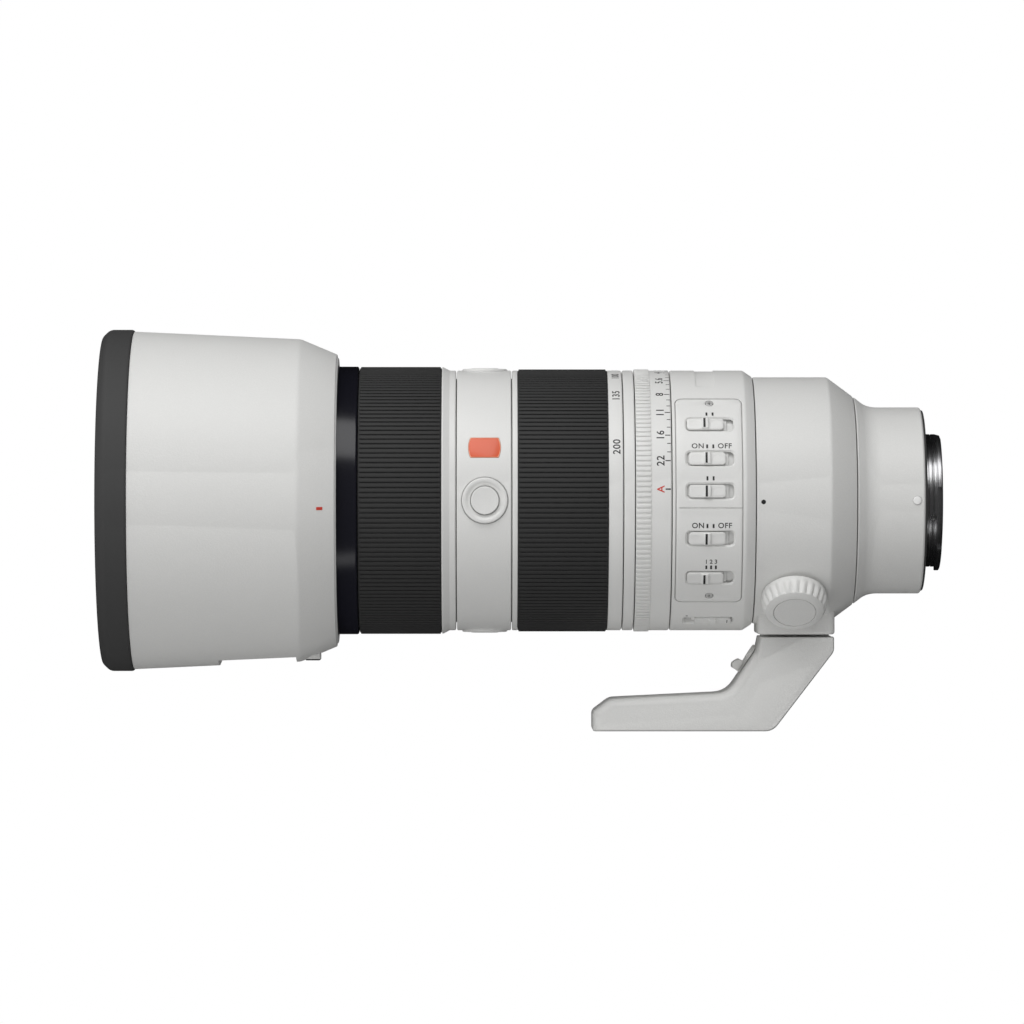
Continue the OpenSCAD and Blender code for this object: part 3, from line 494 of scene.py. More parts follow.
def faces_axis(middle: Vector, normal: Vector) -> bool:
    """True for a face that looks towards the optical axis."""
    return normal.y * middle.y + normal.z * middle.z < -0.2 * math.hypot(middle.y, middle.z)


# Shared shader groups ----------------------------------------------------

class Relief(Enum):
    """How a finish's surface is worked."""

    SPECKLED = "speckled"
    MOULDED = "moulded"
    MACHINED = "machined"


def group_socket(tree: bpy.types.NodeTree, name: str, into: bool, kind: str, value: object = None) -> str:
    """Adds a named socket to a node group, with a starting value where one is given, and gives its key."""
    made = tree.interface.new_socket(name, in_out="INPUT" if into else "OUTPUT", socket_type=f"NodeSocket{kind}")
    if value is not None:
        made.default_value = value
    return made.identifier


def fed(node: bpy.types.Node, inputs: dict[str | int, object]) -> bpy.types.Node:
    """Links or sets a node's inputs.

    Args:
        node: Node to feed.
        inputs: For each input, by name or number, the socket to link from or the value to set.

    Returns:
        The same node.
    """
    for key, value in inputs.items():
        if isinstance(value, bpy.types.NodeSocket):
            node.id_data.links.new(value, node.inputs[key])
        else:
            node.inputs[key].default_value = value
    return node


def wired(tree: bpy.types.NodeTree, kind: str, inputs: dict[str | int, object],
          **settings: object) -> bpy.types.Node:
    """Adds a node to a tree.

    Args:
        tree: Tree to add to.
        kind: Type of the node.
        inputs: What feeds its inputs.
        settings: Values of the node's own properties.

    Returns:
        The node.
    """
    node = tree.nodes.new(kind)
    for name, value in settings.items():
        setattr(node, name, value)
    return fed(node, inputs)


def fresh_material(name: str, colour: tuple[float, ...]) -> bpy.types.Material:
    """New material with nodes, and its colour in the viewport."""
    made = bpy.data.materials.new(name)
    made.use_nodes = True
    made.diffuse_color = colour
    return made


@dataclass
class SurfaceGroup:
    """Node group that varies a finish's colour and roughness, and raises its grain."""

    relief: Relief
    tree: bpy.types.NodeTree = field(init=False)

    def __post_init__(self) -> None:
        """Builds the group once."""
        tree = bpy.data.node_groups.new(f"surface_{self.relief.value}", "ShaderNodeTree")
        self.tree = tree
        for name, kind, value in (("Colour", "Color", (0.8, 0.8, 0.8, 1)), ("Mottle", "Float", 0.03),
                                  ("Grain size", "Float", 0.0004), ("Roughness", "Float", 0.5),
                                  ("Spread", "Float", 0.05)):
            group_socket(tree, name, True, kind, value)
        for name, kind in (("Colour", "Color"), ("Roughness", "Float"), ("Height", "Float")):
            group_socket(tree, name, False, kind)
        given = tree.nodes.new("NodeGroupInput").outputs
        place = tree.nodes.new("ShaderNodeTexCoord").outputs["Object"]
        frequency = wired(tree, "ShaderNodeMath", {0: 1, 1: given["Grain size"]}, operation="DIVIDE")
        marks = self.turning_marks(place) if self.relief is Relief.MACHINED else place
        grain = wired(tree, "ShaderNodeTexNoise", {"Vector": marks, "Scale": frequency.outputs[0], "Detail": 2,
                                                   "Roughness": 0.6})
        broad = wired(tree, "ShaderNodeTexNoise", {"Vector": place, "Scale": 38, "Detail": 4})
        height = grain.outputs["Fac"]
        if self.relief is Relief.SPECKLED:
            ramp = wired(tree, "ShaderNodeMapRange", {"Value": height, "From Min": 0.42, "From Max": 0.66})
            height = ramp.outputs["Result"]
        tone = wired(tree, "ShaderNodeMath", {0: broad.outputs["Fac"], 1: height}, operation="ADD")
        swing = wired(tree, "ShaderNodeMath", {0: tone.outputs[0], 1: 1}, operation="SUBTRACT").outputs[0]
        shade = wired(tree, "ShaderNodeMath", {0: swing, 1: given["Mottle"], 2: 1}, operation="MULTIPLY_ADD")
        colour = wired(tree, "ShaderNodeVectorMath", {0: given["Colour"], "Scale": shade.outputs[0]},
                       operation="SCALE")
        rough = wired(tree, "ShaderNodeMath", {0: swing, 1: given["Spread"], 2: given["Roughness"]},
                      operation="MULTIPLY_ADD", use_clamp=True)
        wired(tree, "NodeGroupOutput", {"Colour": colour.outputs[0], "Roughness": rough.outputs[0],
                                        "Height": height})

    def turning_marks(self, place: bpy.types.NodeSocket) -> bpy.types.NodeSocket:
        """Stretches the grain into fine rings round the optical axis.

        Args:
            place: Socket with the object's coordinates.

        Returns:
            Socket with coordinates that vary along the axis and outwards only.
        """
        apart = wired(self.tree, "ShaderNodeSeparateXYZ", {0: place}).outputs
        flat = wired(self.tree, "ShaderNodeCombineXYZ", {"Y": apart["Y"], "Z": apart["Z"]})
        reach = wired(self.tree, "ShaderNodeVectorMath", {0: flat.outputs[0]}, operation="LENGTH")
        return wired(self.tree, "ShaderNodeCombineXYZ", {"X": apart["X"], "Y": reach.outputs["Value"]}).outputs[0]


SURFACES: dict[Relief, SurfaceGroup] = {}


@dataclass(frozen=True)
class Finish:
    """A finish: its colour, gloss and grain, and the record's slot it belongs to."""

    name: str
    slot: str
    colour: tuple[float, float, float]
    roughness: float = 0.5
    spread: float = 0.06
    mottle: float = 0.03
    grain: float = 0.35
    depth: float = 0.02
    metallic: float = 0.0
    coat: float = 0.0
    relief: Relief = Relief.MOULDED

    def material(self) -> bpy.types.Material:
        """The finish's material, built the first time it is asked for."""
        found = bpy.data.materials.get(self.name)
        if found:
            return found
        made = fresh_material(self.name, (*self.colour, 1))
        tree = made.node_tree
        if self.relief not in SURFACES:
            SURFACES[self.relief] = SurfaceGroup(self.relief)
        surface = wired(tree, "ShaderNodeGroup", {
            "Colour": (*self.colour, 1), "Mottle": self.mottle, "Grain size": self.grain * MM,
            "Roughness": self.roughness, "Spread": self.spread}, node_tree=SURFACES[self.relief].tree).outputs
        bump = wired(tree, "ShaderNodeBump", {"Distance": self.depth * MM, "Height": surface["Height"]})
        fed(tree.nodes["Principled BSDF"], {
            "Base Color": surface["Colour"], "Roughness": surface["Roughness"], "Normal": bump.outputs["Normal"],
            "Metallic": self.metallic, "Coat Weight": self.coat, "Coat Roughness": 0.08})
        return made


@dataclass(frozen=True)
class Coating:
    """Lens glass with a tinted coating."""

    name: str
    tint: tuple[float, float, float]
    slot: str = "glass"

    def material(self) -> bpy.types.Material:
        """The glass, built the first time it is asked for."""
        found = bpy.data.materials.get(self.name)
        if found:
            return found
        made = fresh_material(self.name, (*self.tint, 0.3))
        tree, tint = made.node_tree, (*self.tint, 1)
        edge = wired(tree, "ShaderNodeLayerWeight", {"Blend": 0.35})
        mix = wired(tree, "ShaderNodeMix", {"A": (0.98, 0.99, 0.99, 1), "B": tint,
                                            "Factor": edge.outputs["Facing"]}, data_type="RGBA")
        fed(tree.nodes["Principled BSDF"], {
            "Transmission Weight": 1, "Roughness": 0.0, "IOR": 1.6, "Base Color": mix.outputs["Result"],
            "Specular Tint": tint, "Coat Weight": 0.6, "Coat Roughness": 0.0, "Coat Tint": tint})
        return made


BARREL_WHITE = Finish("barrel_white", "white_barrel", (0.76, 0.76, 0.745), 0.42, 0.06, 0.02, 0.4, 0.012,
                      relief=Relief.SPECKLED)
CAST_WHITE = Finish("cast_white", "white_metal", (0.72, 0.72, 0.705), 0.46, 0.07, 0.03, 0.45, 0.02,
                    relief=Relief.SPECKLED)
HOOD_WHITE = Finish("hood_white", "white_hood", (0.74, 0.74, 0.725), 0.5, 0.06, 0.025, 0.5, 0.02,
                    relief=Relief.SPECKLED)
FLOCK = Finish("black_flock", "black_plastic", (0.012, 0.012, 0.013), 0.95, 0.03, 0.2, 0.25, 0.06,
               relief=Relief.SPECKLED)
GRIP = Finish("grip_rubber", "grip_rubber", (0.034, 0.035, 0.034), 0.55, 0.1, 0.12, 0.3, 0.03)
BUMPER = Finish("bumper_rubber", "bumper_rubber", (0.052, 0.053, 0.052), 0.6, 0.1, 0.1, 0.4, 0.03)
GLOSS = Finish("gloss_black", "gloss_black", (0.006, 0.006, 0.008), 0.3, 0.04, 0.1, 0.6, 0.004, coat=0.4)
BLACK = Finish("anodised_black", "black_plastic", (0.014, 0.014, 0.015), 0.5, 0.08, 0.1, 0.3, 0.01,
               relief=Relief.MACHINED)
INNER = Finish("inner_metal", "inner_metal", (0.05, 0.05, 0.055), 0.4, 0.1, 0.1, 0.4, 0.01, metallic=0.8,
               relief=Relief.MACHINED)
CHROME = Finish("turned_chrome", "mount_metal", (0.58, 0.58, 0.59), 0.27, 0.12, 0.05, 0.12, 0.004,
                metallic=1.0, relief=Relief.MACHINED)
STEEL = Finish("screw_steel", "steel", (0.5, 0.5, 0.5), 0.28, 0.1, 0.06, 0.2, 0.006, metallic=1.0,
               relief=Relief.MACHINED)
DARK_STEEL = Finish("panel_steel", "steel", (0.6, 0.6, 0.59), 0.35, 0.1, 0.06, 0.2, 0.006, metallic=0.2)
GOLD = Finish("contact_gold", "brass", (0.75, 0.55, 0.22), 0.22, 0.08, 0.05, 0.2, 0.004, metallic=1.0)
BOARD = Finish("board_green", "board_green", (0.02, 0.11, 0.05), 0.35, 0.1, 0.2, 0.8, 0.02)
ENAMEL = Finish("badge_enamel", "badge_enamel", (0.68, 0.05, 0.012), 0.5, 0.05, 0.05, 0.3, 0.003, coat=0.15)
RIM = Finish("badge_rim", "badge_enamel", (0.8, 0.35, 0.22), 0.3, 0.06, 0.05, 0.2, 0.003, metallic=0.3)
INK = Finish("black_ink", "black_plastic", (0.02, 0.02, 0.02), 0.5, 0.05, 0.1, 0.2, 0.002)
RED_INK = Finish("red_ink", "badge_enamel", (0.6, 0.05, 0.03), 0.45, 0.05, 0.1, 0.2, 0.002)
DOT_WHITE = Finish("dot_white", "white_barrel", (0.86, 0.86, 0.85), 0.25, 0.04, 0.02, 0.3, 0.004, coat=0.4,
                   relief=Relief.SPECKLED)
FRONT_COATING = Coating("front_coating", (0.55, 0.42, 0.75))
INNER_COATING = Coating("inner_coating", (0.45, 0.68, 0.5))


def show(mesh: Mesh, name: str, body: str, finishes: Sequence[Finish | Coating],
         replaces: Sequence[str] = (), sharp: float = 32) -> bpy.types.Object:
    """Makes a mesh a piece of the lens.

    Args:
        mesh: Mesh in millimetres.
        name: Name of the piece.
        body: CAD body that it rides on.
        finishes: Its finishes, the main one first.
        replaces: CAD nodes that it stands for.
        sharp: Edges sharper than this angle stay crisp, in degrees.

    Returns:
        The piece's object.
    """
    mesh.transform(Matrix.Scale(MM, 4))
    mesh.normal_update()
    for face in mesh.faces:
        face.smooth = True
    for edge in mesh.edges:
        edge.smooth = len(edge.link_faces) == 2 and edge.calc_face_angle(0) < math.radians(sharp)
    data = bpy.data.meshes.new(name)
    mesh.to_mesh(data)
    triangles = sum(len(f.verts) - 2 for f in mesh.faces)
    mesh.free()
    for finish in finishes:
        data.materials.append(finish.material())
    piece = linked(name, data)
    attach(piece, body)
    if replaces:
        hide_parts(*replaces)
    LOG.info("%s rides on %s, %d triangles", name, body, triangles)
    return piece


# Repeats -----------------------------------------------------------------

@dataclass
class Repeater:
    """Geometry Nodes tree that sets equal copies of a shape round an axis through the origin."""

    tree: bpy.types.NodeTree = field(init=False)
    sockets: dict[str, str] = field(init=False)

    def __post_init__(self) -> None:
        """Builds the tree."""
        tree = bpy.data.node_groups.new("copies_round_axis", "GeometryNodeTree")
        self.tree, self.sockets = tree, {}
        for name, kind in (("Shape", "Geometry"), ("Count", "Int"), ("Step", "Float"), ("Start", "Float"),
                           ("Axis", "Vector"), ("Finish", "Material")):
            self.sockets[name] = group_socket(tree, name, True, kind)
        group_socket(tree, "Copies", False, "Geometry")
        given = tree.nodes.new("NodeGroupInput").outputs
        line = wired(tree, "GeometryNodeMeshLine", {"Offset": (0, 0, 0), "Count": given["Count"]})
        index = tree.nodes.new("GeometryNodeInputIndex").outputs[0]
        turn = wired(tree, "ShaderNodeMath", {0: index, 1: given["Step"], 2: given["Start"]},
                     operation="MULTIPLY_ADD")
        rotation = wired(tree, "FunctionNodeAxisAngleToRotation",
                         {"Axis": given["Axis"], "Angle": turn.outputs[0]})
        copies = wired(tree, "GeometryNodeInstanceOnPoints", {
            "Points": line.outputs[0], "Instance": given["Shape"], "Rotation": rotation.outputs[0]})
        real = wired(tree, "GeometryNodeRealizeInstances", {0: copies.outputs[0]})
        dress = wired(tree, "GeometryNodeSetMaterial", {"Geometry": real.outputs[0], "Material": given["Finish"]})
        wired(tree, "NodeGroupOutput", {0: dress.outputs[0]})

    def copies(self, shape: Mesh, count: int, finish: Finish, step: float = 0, start: float = 0,
               axis: tuple[float, float, float] = (-1, 0, 0)) -> Mesh:
        """Repeats a shape, by default round the optical axis, all the way round.

        Args:
            shape: Mesh to repeat.
            count: Number of copies.
            finish: Finish of the copies.
            step: Angle from one copy to the next, in degrees.
            start: Turn of the first copy, in degrees.
            axis: Axis of the turn.

        Returns:
            One mesh with all the copies.
        """
        thing = loose_object(shape)
        nodes = thing.modifiers.new("copies", "NODES")
        nodes.node_group = self.tree
        nodes[self.sockets["Count"]] = count
        nodes[self.sockets["Step"]] = math.radians(step or 360 / count)
        nodes[self.sockets["Start"]] = math.radians(start)
        nodes[self.sockets["Axis"]] = axis
        nodes[self.sockets["Finish"]] = finish.material()
        return taken(thing)


# Markings ----------------------------------------------------------------

@dataclass
class Markings:
    """Inked marks on a turned surface, gathered into one piece."""

    radius: float
    thickness: float = 0.03
    parts: list[Mesh] = field(default_factory=list)

    def number(self, text: str, x: float, angle: float, size: float) -> None:
        """Adds a number that reads round the axis, with its top towards the front."""
        flat = placed(lettering(text, size, self.thickness), READS_ROUND)
        self._add(flat, x, angle)

    def sign(self, text: str, x: float, angle: float, size: float) -> None:
        """Adds a sign that reads along the axis, with its top towards a larger angle."""
        self._add(lettering(text, size, self.thickness), x, angle)

    def bar(self, x: float, angle: float, length: float, width: float) -> None:
        """Adds a small bar, length along the axis and width round it."""
        long, wide = length / 2, width / 2
        self._add_flat([(-long, -wide), (long, -wide), (long, wide), (-long, wide)], x, angle)

    def dot(self, x: float, angle: float, size: float, sides: int = 40, turn: float = 0) -> None:
        """Adds a round dot, or with three sides a small pointer."""
        turns = [turn + 2 * math.pi * i / sides for i in range(sides)]
        self._add_flat([(size / 2 * math.cos(a), size / 2 * math.sin(a)) for a in turns], x, angle)

    def _add_flat(self, loop: Outline, x: float, angle: float) -> None:
        """Adds a mark with a given outline."""
        self._add(extruded(loop, -self.thickness / 2, self.thickness / 2), x, angle)

    def _add(self, flat: Mesh, x: float, angle: float) -> None:
        """Bends a flat mark round the axis and keeps it."""
        shifted(flat, x, self.radius + self.thickness * 0.3)
        self.parts.append(wrapped(flat, self.radius, angle, 0.8))

    def show(self, name: str, body: str, finish: Finish) -> None:
        """Makes the marks one piece."""
        show(joined(self.parts), name, body, [finish])


# Sub-assemblies ----------------------------------------------------------

@dataclass
class Hood:
    """Hood with its bumper, filter window and release button."""

    knee_back: float = 12.4
    knee_r: float = 53.0
    cone_r: float = 48.0
    end_r: float = 46.8
    lip_in: float = 44.3
    spigot_r: float = 54.0
    mouth_r: float = 52.7
    window_half: float = 15.0
    spigot_length: float = 5.2
    lip_length: float = 5.2
    bore: float = 51.9
    black_r: float = 53.2
    pad_in: float = 49.0
    channel: tuple[float, float] = (49.6, 51.4)
    cover_r: float = 51.1
    shell: Span = span_field("hood_shell")
    bumper: Span = span_field("hood_bumper")
    cover: Span = span_field("hood_window")
    button: Span = span_field("hood_release_button")

    def build(self) -> None:
        """Builds the hood's pieces."""
        self.build_shell()
        self.build_bumper()
        self.build_window()
        self.build_button()

    def build_shell(self) -> None:
        """The white shell, black inside, with its channel, opening and bayonet tabs."""
        end, lip = self.shell.back, self.lip_in
        seam, knee, cone = self.bumper.back + 0.1, end - self.knee_back, end - 0.5
        spigot = seam - self.spigot_length
        outline = rounded([
            (spigot, self.mouth_r, 0.2), (spigot, self.spigot_r, 0.3), (seam, self.spigot_r),
            (seam, self.shell.radius, 0.35), (knee, self.knee_r, 0.9), (cone, self.cone_r, 0.25),
            (cone + 0.05, self.end_r + 0.3, 0.1), (end, self.end_r, 0.2), (end, lip, 0.3),
            (end - self.lip_length, lip), (end - 5.8, lip + 2.2), (knee - 1.3, self.knee_r - 1.6, 1.0),
            (knee - 30, self.bore)])
        x1, x2 = self.cover.front + 1.7, self.cover.back - 1.7
        pad = revolved([(x1 - 4, 52.35), (x1 - 2.6, self.pad_in), (x2 + 2.6, self.pad_in), (x2 + 3, self.bore)],
                       -110, -48)
        channel = revolved(band(x1 - 2, x2 + 2, *self.channel), -108, -50)
        hole = revolved([(x1, 44), (x1, self.cover_r), (x1 - 3, 58), (x2, 58), (x2, 44)],
                        -90 - self.window_half, -90 + self.window_half)
        press = placed(block(-2.8, 2.8, 12.6, 45.4, 60, 0.5), around(-90, self.button.middle))
        mesh = carved(revolved(outline), pad, mode="UNION")
        mesh = carved(mesh, channel, hole, press)
        tinted(mesh, 1, lambda c, n: faces_axis(c, n) and math.hypot(c.y, c.z) < self.black_r)
        tabs = [revolved(band(end - 4.8, end - 2.6, lip - 1.4, lip + 0.4), a - 8, a + 8) for a in TAB_ANGLES]
        show(joined([mesh, *tabs]), "hood_body", "hood", [HOOD_WHITE, FLOCK], ["hood_shell"])
        marks = Markings(self.cone_r)
        flat = extruded(rounded([(-1, -0.5, 0.2), (1, -0.5, 0.2), (1, 0.5, 0.2), (-1, 0.5, 0.2)]), -0.06, 0.06)
        slope = (self.knee_r - self.cone_r) / (cone - knee)
        middle = end - 5.2
        for v in flat.verts:
            v.co.z += self.cone_r + slope * (cone - middle - v.co.x) + 0.03
        shifted(flat, middle)
        marks.parts.append(wrapped(flat, 50, -3, 0.6))
        marks.show("hood_index", "hood", RED_INK)

    def build_bumper(self) -> None:
        """The rubber bumper round the mouth."""
        front, back, top, inner = self.bumper.front, self.bumper.back, self.bumper.radius, self.mouth_r
        seat, spigot = self.spigot_r + 0.1, back - self.spigot_length
        outline = rounded([
            (back, seat), (back, top - 0.3, 0.1), (back - 0.5, top, 0.3),
            (front + 2.4, top, 1.2), (front, top - 2.2, 1.6), (front, inner + 0.4, 0.4),
            (front + 0.6, inner, 0.3), (spigot, inner), (spigot, seat)], 6)
        show(revolved(outline), "hood_bumper_ring", "hood", [BUMPER], ["hood_bumper"])

    def build_window(self) -> None:
        """The sliding cover of the filter window, with a row of finger ridges."""
        x1, x2, r = self.cover.front, self.cover.back, self.cover_r
        half = self.window_half + 2
        parts = [revolved(rounded([(x1, r - 1.2, 0.2), (x1, r, 0.2), (x2, r, 0.2), (x2, r - 1.2, 0.2)]),
                          -90 - half, -90 + half)]
        for k in range(4):
            parts.append(revolved(rounded([(x1 + 6 + k * 0.1, r - 0.1), (x1 + 6.4 + k * 0.1, r + 0.8, 0.3),
                                           (x2 - 6.4 - k * 0.1, r + 0.8, 0.3), (x2 - 6 - k * 0.1, r - 0.1)]),
                                  -90 - half + 4 + k * 1.5, -90 - half + 4.8 + k * 1.5))
        mesh = joined(parts)
        tinted(mesh, 1, faces_axis)
        show(mesh, "filter_window_cover", "window_cover", [HOOD_WHITE, FLOCK], ["hood_window"])

    def build_button(self) -> None:
        """The release button, with three grip grooves."""
        low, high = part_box("hood_release_button")
        top, floor = -low.z / MM, -high.z / MM
        mesh = block(-2.5, 2.5, 12, floor, top, 0.45)
        grooves = [block(k * 1.2 - 0.25, k * 1.2 + 0.25, 9, top - 0.3, top + 1, 0.08, 2) for k in (-1, 0, 1)]
        mesh = placed(carved(mesh, *grooves), around(-90, self.button.middle))
        tinted(mesh, 1, faces_axis)
        show(mesh, "release_button", "hood_button", [HOOD_WHITE, FLOCK], ["hood_release_button"])


@dataclass
class FrontEnd:
    """Black front ring with its filter thread, and the front cell with its glass."""

    bore: float = 40.2
    seat: float = 39.0
    thread_r: float = 38.1
    thread_pitch: float = 0.75
    thread_depth: float = 0.35
    glass_r: float = 36.1
    ring: Span = span_field("front_ring")

    def build(self) -> None:
        """Builds the ring, the cell and the glass."""
        self.build_ring()
        self.build_cell()
        self.build_glass()

    def build_ring(self) -> None:
        """The ring, with the hood's bayonet slots cut in it."""
        x1, x2, r = self.ring.front, self.ring.back, self.ring.radius
        stop = x1 + 4.5
        points: list[tuple[float, ...]] = [
            (x1, self.thread_r + 0.4, 0.15), (x1, r - 0.3, 0.3), (x1 + 0.3, r, 0.2), (x2 - 0.35, r, 0.3),
            (x2, r - 0.35, 0.2), (x2, self.bore), (x2 - 4.8, self.bore), (x2 - 4.8, self.seat), (stop, self.seat),
            (stop, self.thread_r + self.thread_depth)]
        turns = int((stop - x1 - 1.0) / self.thread_pitch)
        for k in range(turns, 0, -1):
            x = x1 + 0.5 + k * self.thread_pitch
            points += [(x, self.thread_r + self.thread_depth), (x - self.thread_pitch / 2, self.thread_r)]
        mesh = revolved(rounded(points, 3))
        tab = Span.of("hood_shell").back - 4.8
        tools = []
        for a in TAB_ANGLES:
            tools.append(revolved(band(tab - 0.3, tab + 2.5, 42.6, 46), a - 8.3, a + 69.3, 120))
            tools.append(revolved(band(x1 - 1, tab + 0.5, 42.55, 46), a + 51.4, a + 68.6, 120))
        show(carved(mesh, *tools), "front_trim_ring", "barrel", [GLOSS], ["front_ring"])

    def build_cell(self) -> None:
        """The cell behind the thread, with stepped baffle rings that stop glare."""
        cell = Span.of("front_cell")
        x, r = cell.front, cell.radius
        points: list[tuple[float, ...]] = [(x, r), (x, 37.9)]
        for k in range(7):
            points += [(x + 0.25 + k * 0.25, 37.6 - k * 0.45), (x + 0.12 + k * 0.25, 37.35 - k * 0.45)]
        seat, step, bore = self.glass_r + 0.1, cell.back - 6, 30.1
        points += [(x + 2.0, 34.6), (x + 3.6, 34.6), (x + 3.6, seat), (step, seat), (step, bore),
                   (cell.back, bore), (cell.back, r)]
        show(revolved(rounded(points), segments=192), "front_cell_body", "barrel", [BLACK], ["front_cell"])

    def build_glass(self) -> None:
        """The two front elements."""
        x = Span.of("front_cell").front
        parts = [element(x + 4, 1.6, self.glass_r, 1.8, 1.8), element(x + 8.2, 1.8, self.glass_r, -1.4, 1)]
        show(joined(parts), "front_elements", "barrel", [FRONT_COATING], ["front_glass"], sharp=50)


def element(x: float, edge: float, radius: float, front: float, back: float, steps: int = 20) -> Mesh:
    """A glass element.

    Args:
        x: Station of its rim's front.
        edge: Thickness of its rim.
        radius: Its radius.
        front: Bulge of the front face at the axis.
        back: Bulge of the back face at the axis.
        steps: Rings on each face.

    Returns:
        The mesh.
    """
    run = [i / steps for i in range(steps + 1)]
    outline = [(x - front * (1 - u * u), radius * u) for u in run]
    outline += [(x + edge + back * (1 - u * u), radius * u) for u in reversed(run)]
    return revolved(outline, segments=128)


@dataclass
class Grip:
    """Ribbed rubber sleeve of a ring."""

    node: str
    name: str
    body: str
    inner: float
    ribs: int
    rib_height: float = 0.55
    share: float = 0.74
    margin: float = 0.35

    def build(self, repeater: Repeater) -> None:
        """Builds the sleeve and sets its ribs.

        Args:
            repeater: Tree that repeats the rib.
        """
        span = Span.of(self.node)
        base = span.radius - self.rib_height
        sleeve = revolved(rounded([(span.front, self.inner), (span.front, base + 0.1, 0.15),
                                   (span.back, base + 0.1, 0.15), (span.back, self.inner)], 2))
        width = 2 * math.pi * span.radius / self.ribs * self.share
        rib = block(span.front + self.margin, span.back - self.margin, width, base - 0.2, span.radius, 0.16, 2)
        low = [f for f in rib.faces if f.calc_center_median().z < base - 0.1]
        bmesh.ops.delete(rib, geom=low, context="FACES_ONLY")
        bmesh.ops.holes_fill(rib, edges=[e for e in rib.edges if len(e.link_faces) == 1])
        ribs = repeater.copies(placed(closed(rib), around(0)), self.ribs, GRIP)
        show(joined([sleeve, ribs]), self.name, self.body, [GRIP], [self.node], sharp=45)


def sleeve(x1: float, x2: float, bore: float, radius: float) -> Mesh:
    """Plain sleeve between two stations, chamfered at both ends."""
    return revolved(rounded([(x1, bore), (x1, radius - 0.3, 0.2), (x1 + 0.3, radius, 0.2),
                             (x2 - 0.3, radius, 0.2), (x2, radius - 0.3, 0.2), (x2, bore)], 3))


def cross_head(outline: Sequence[tuple[float, ...]], arm: float, slot: float, low: float,
               segments: int = 32) -> Mesh:
    """Round screw head with a cross cut in it.

    Args:
        outline: Corners of the head as (radius, z), with the rounding of each.
        arm: Half the length of the cross.
        slot: Width of the cross's arms.
        low: Height of the cross's bottom.
        segments: Steps in the turn.

    Returns:
        The mesh, on the local Z axis.
    """
    arms = (block(-arm, arm, slot, low, low + 1.6), block(-slot / 2, slot / 2, 2 * arm, low, low + 1.6))
    return carved(spun(rounded(outline), segments), *arms)


@dataclass
class FocusRing:
    """Focus ring's white sleeve."""

    bore: float = 40.3
    seat: float = 41.7
    skin_r: float = 42.7
    ring: Span = span_field("focus_ring")

    def build(self) -> None:
        """The sleeve, with a raised strip and a hollow chamfer behind the grip."""
        x1, x2, top = self.ring.front, self.ring.back, self.ring.radius
        edge = Span.of("focus_grip").back + 0.1
        outline = rounded([
            (x1, self.bore), (x1, self.seat), (edge, self.seat), (edge, top, 0.12), (edge + 0.4, top, 0.12),
            (edge + 2.5, self.skin_r, 0.15), (x2 - 0.3, self.skin_r, 0.25),
            (x2, self.skin_r - 0.35, 0.2), (x2, self.bore)])
        show(revolved(outline), "focus_sleeve", "focus", [BARREL_WHITE], ["focus_ring"])


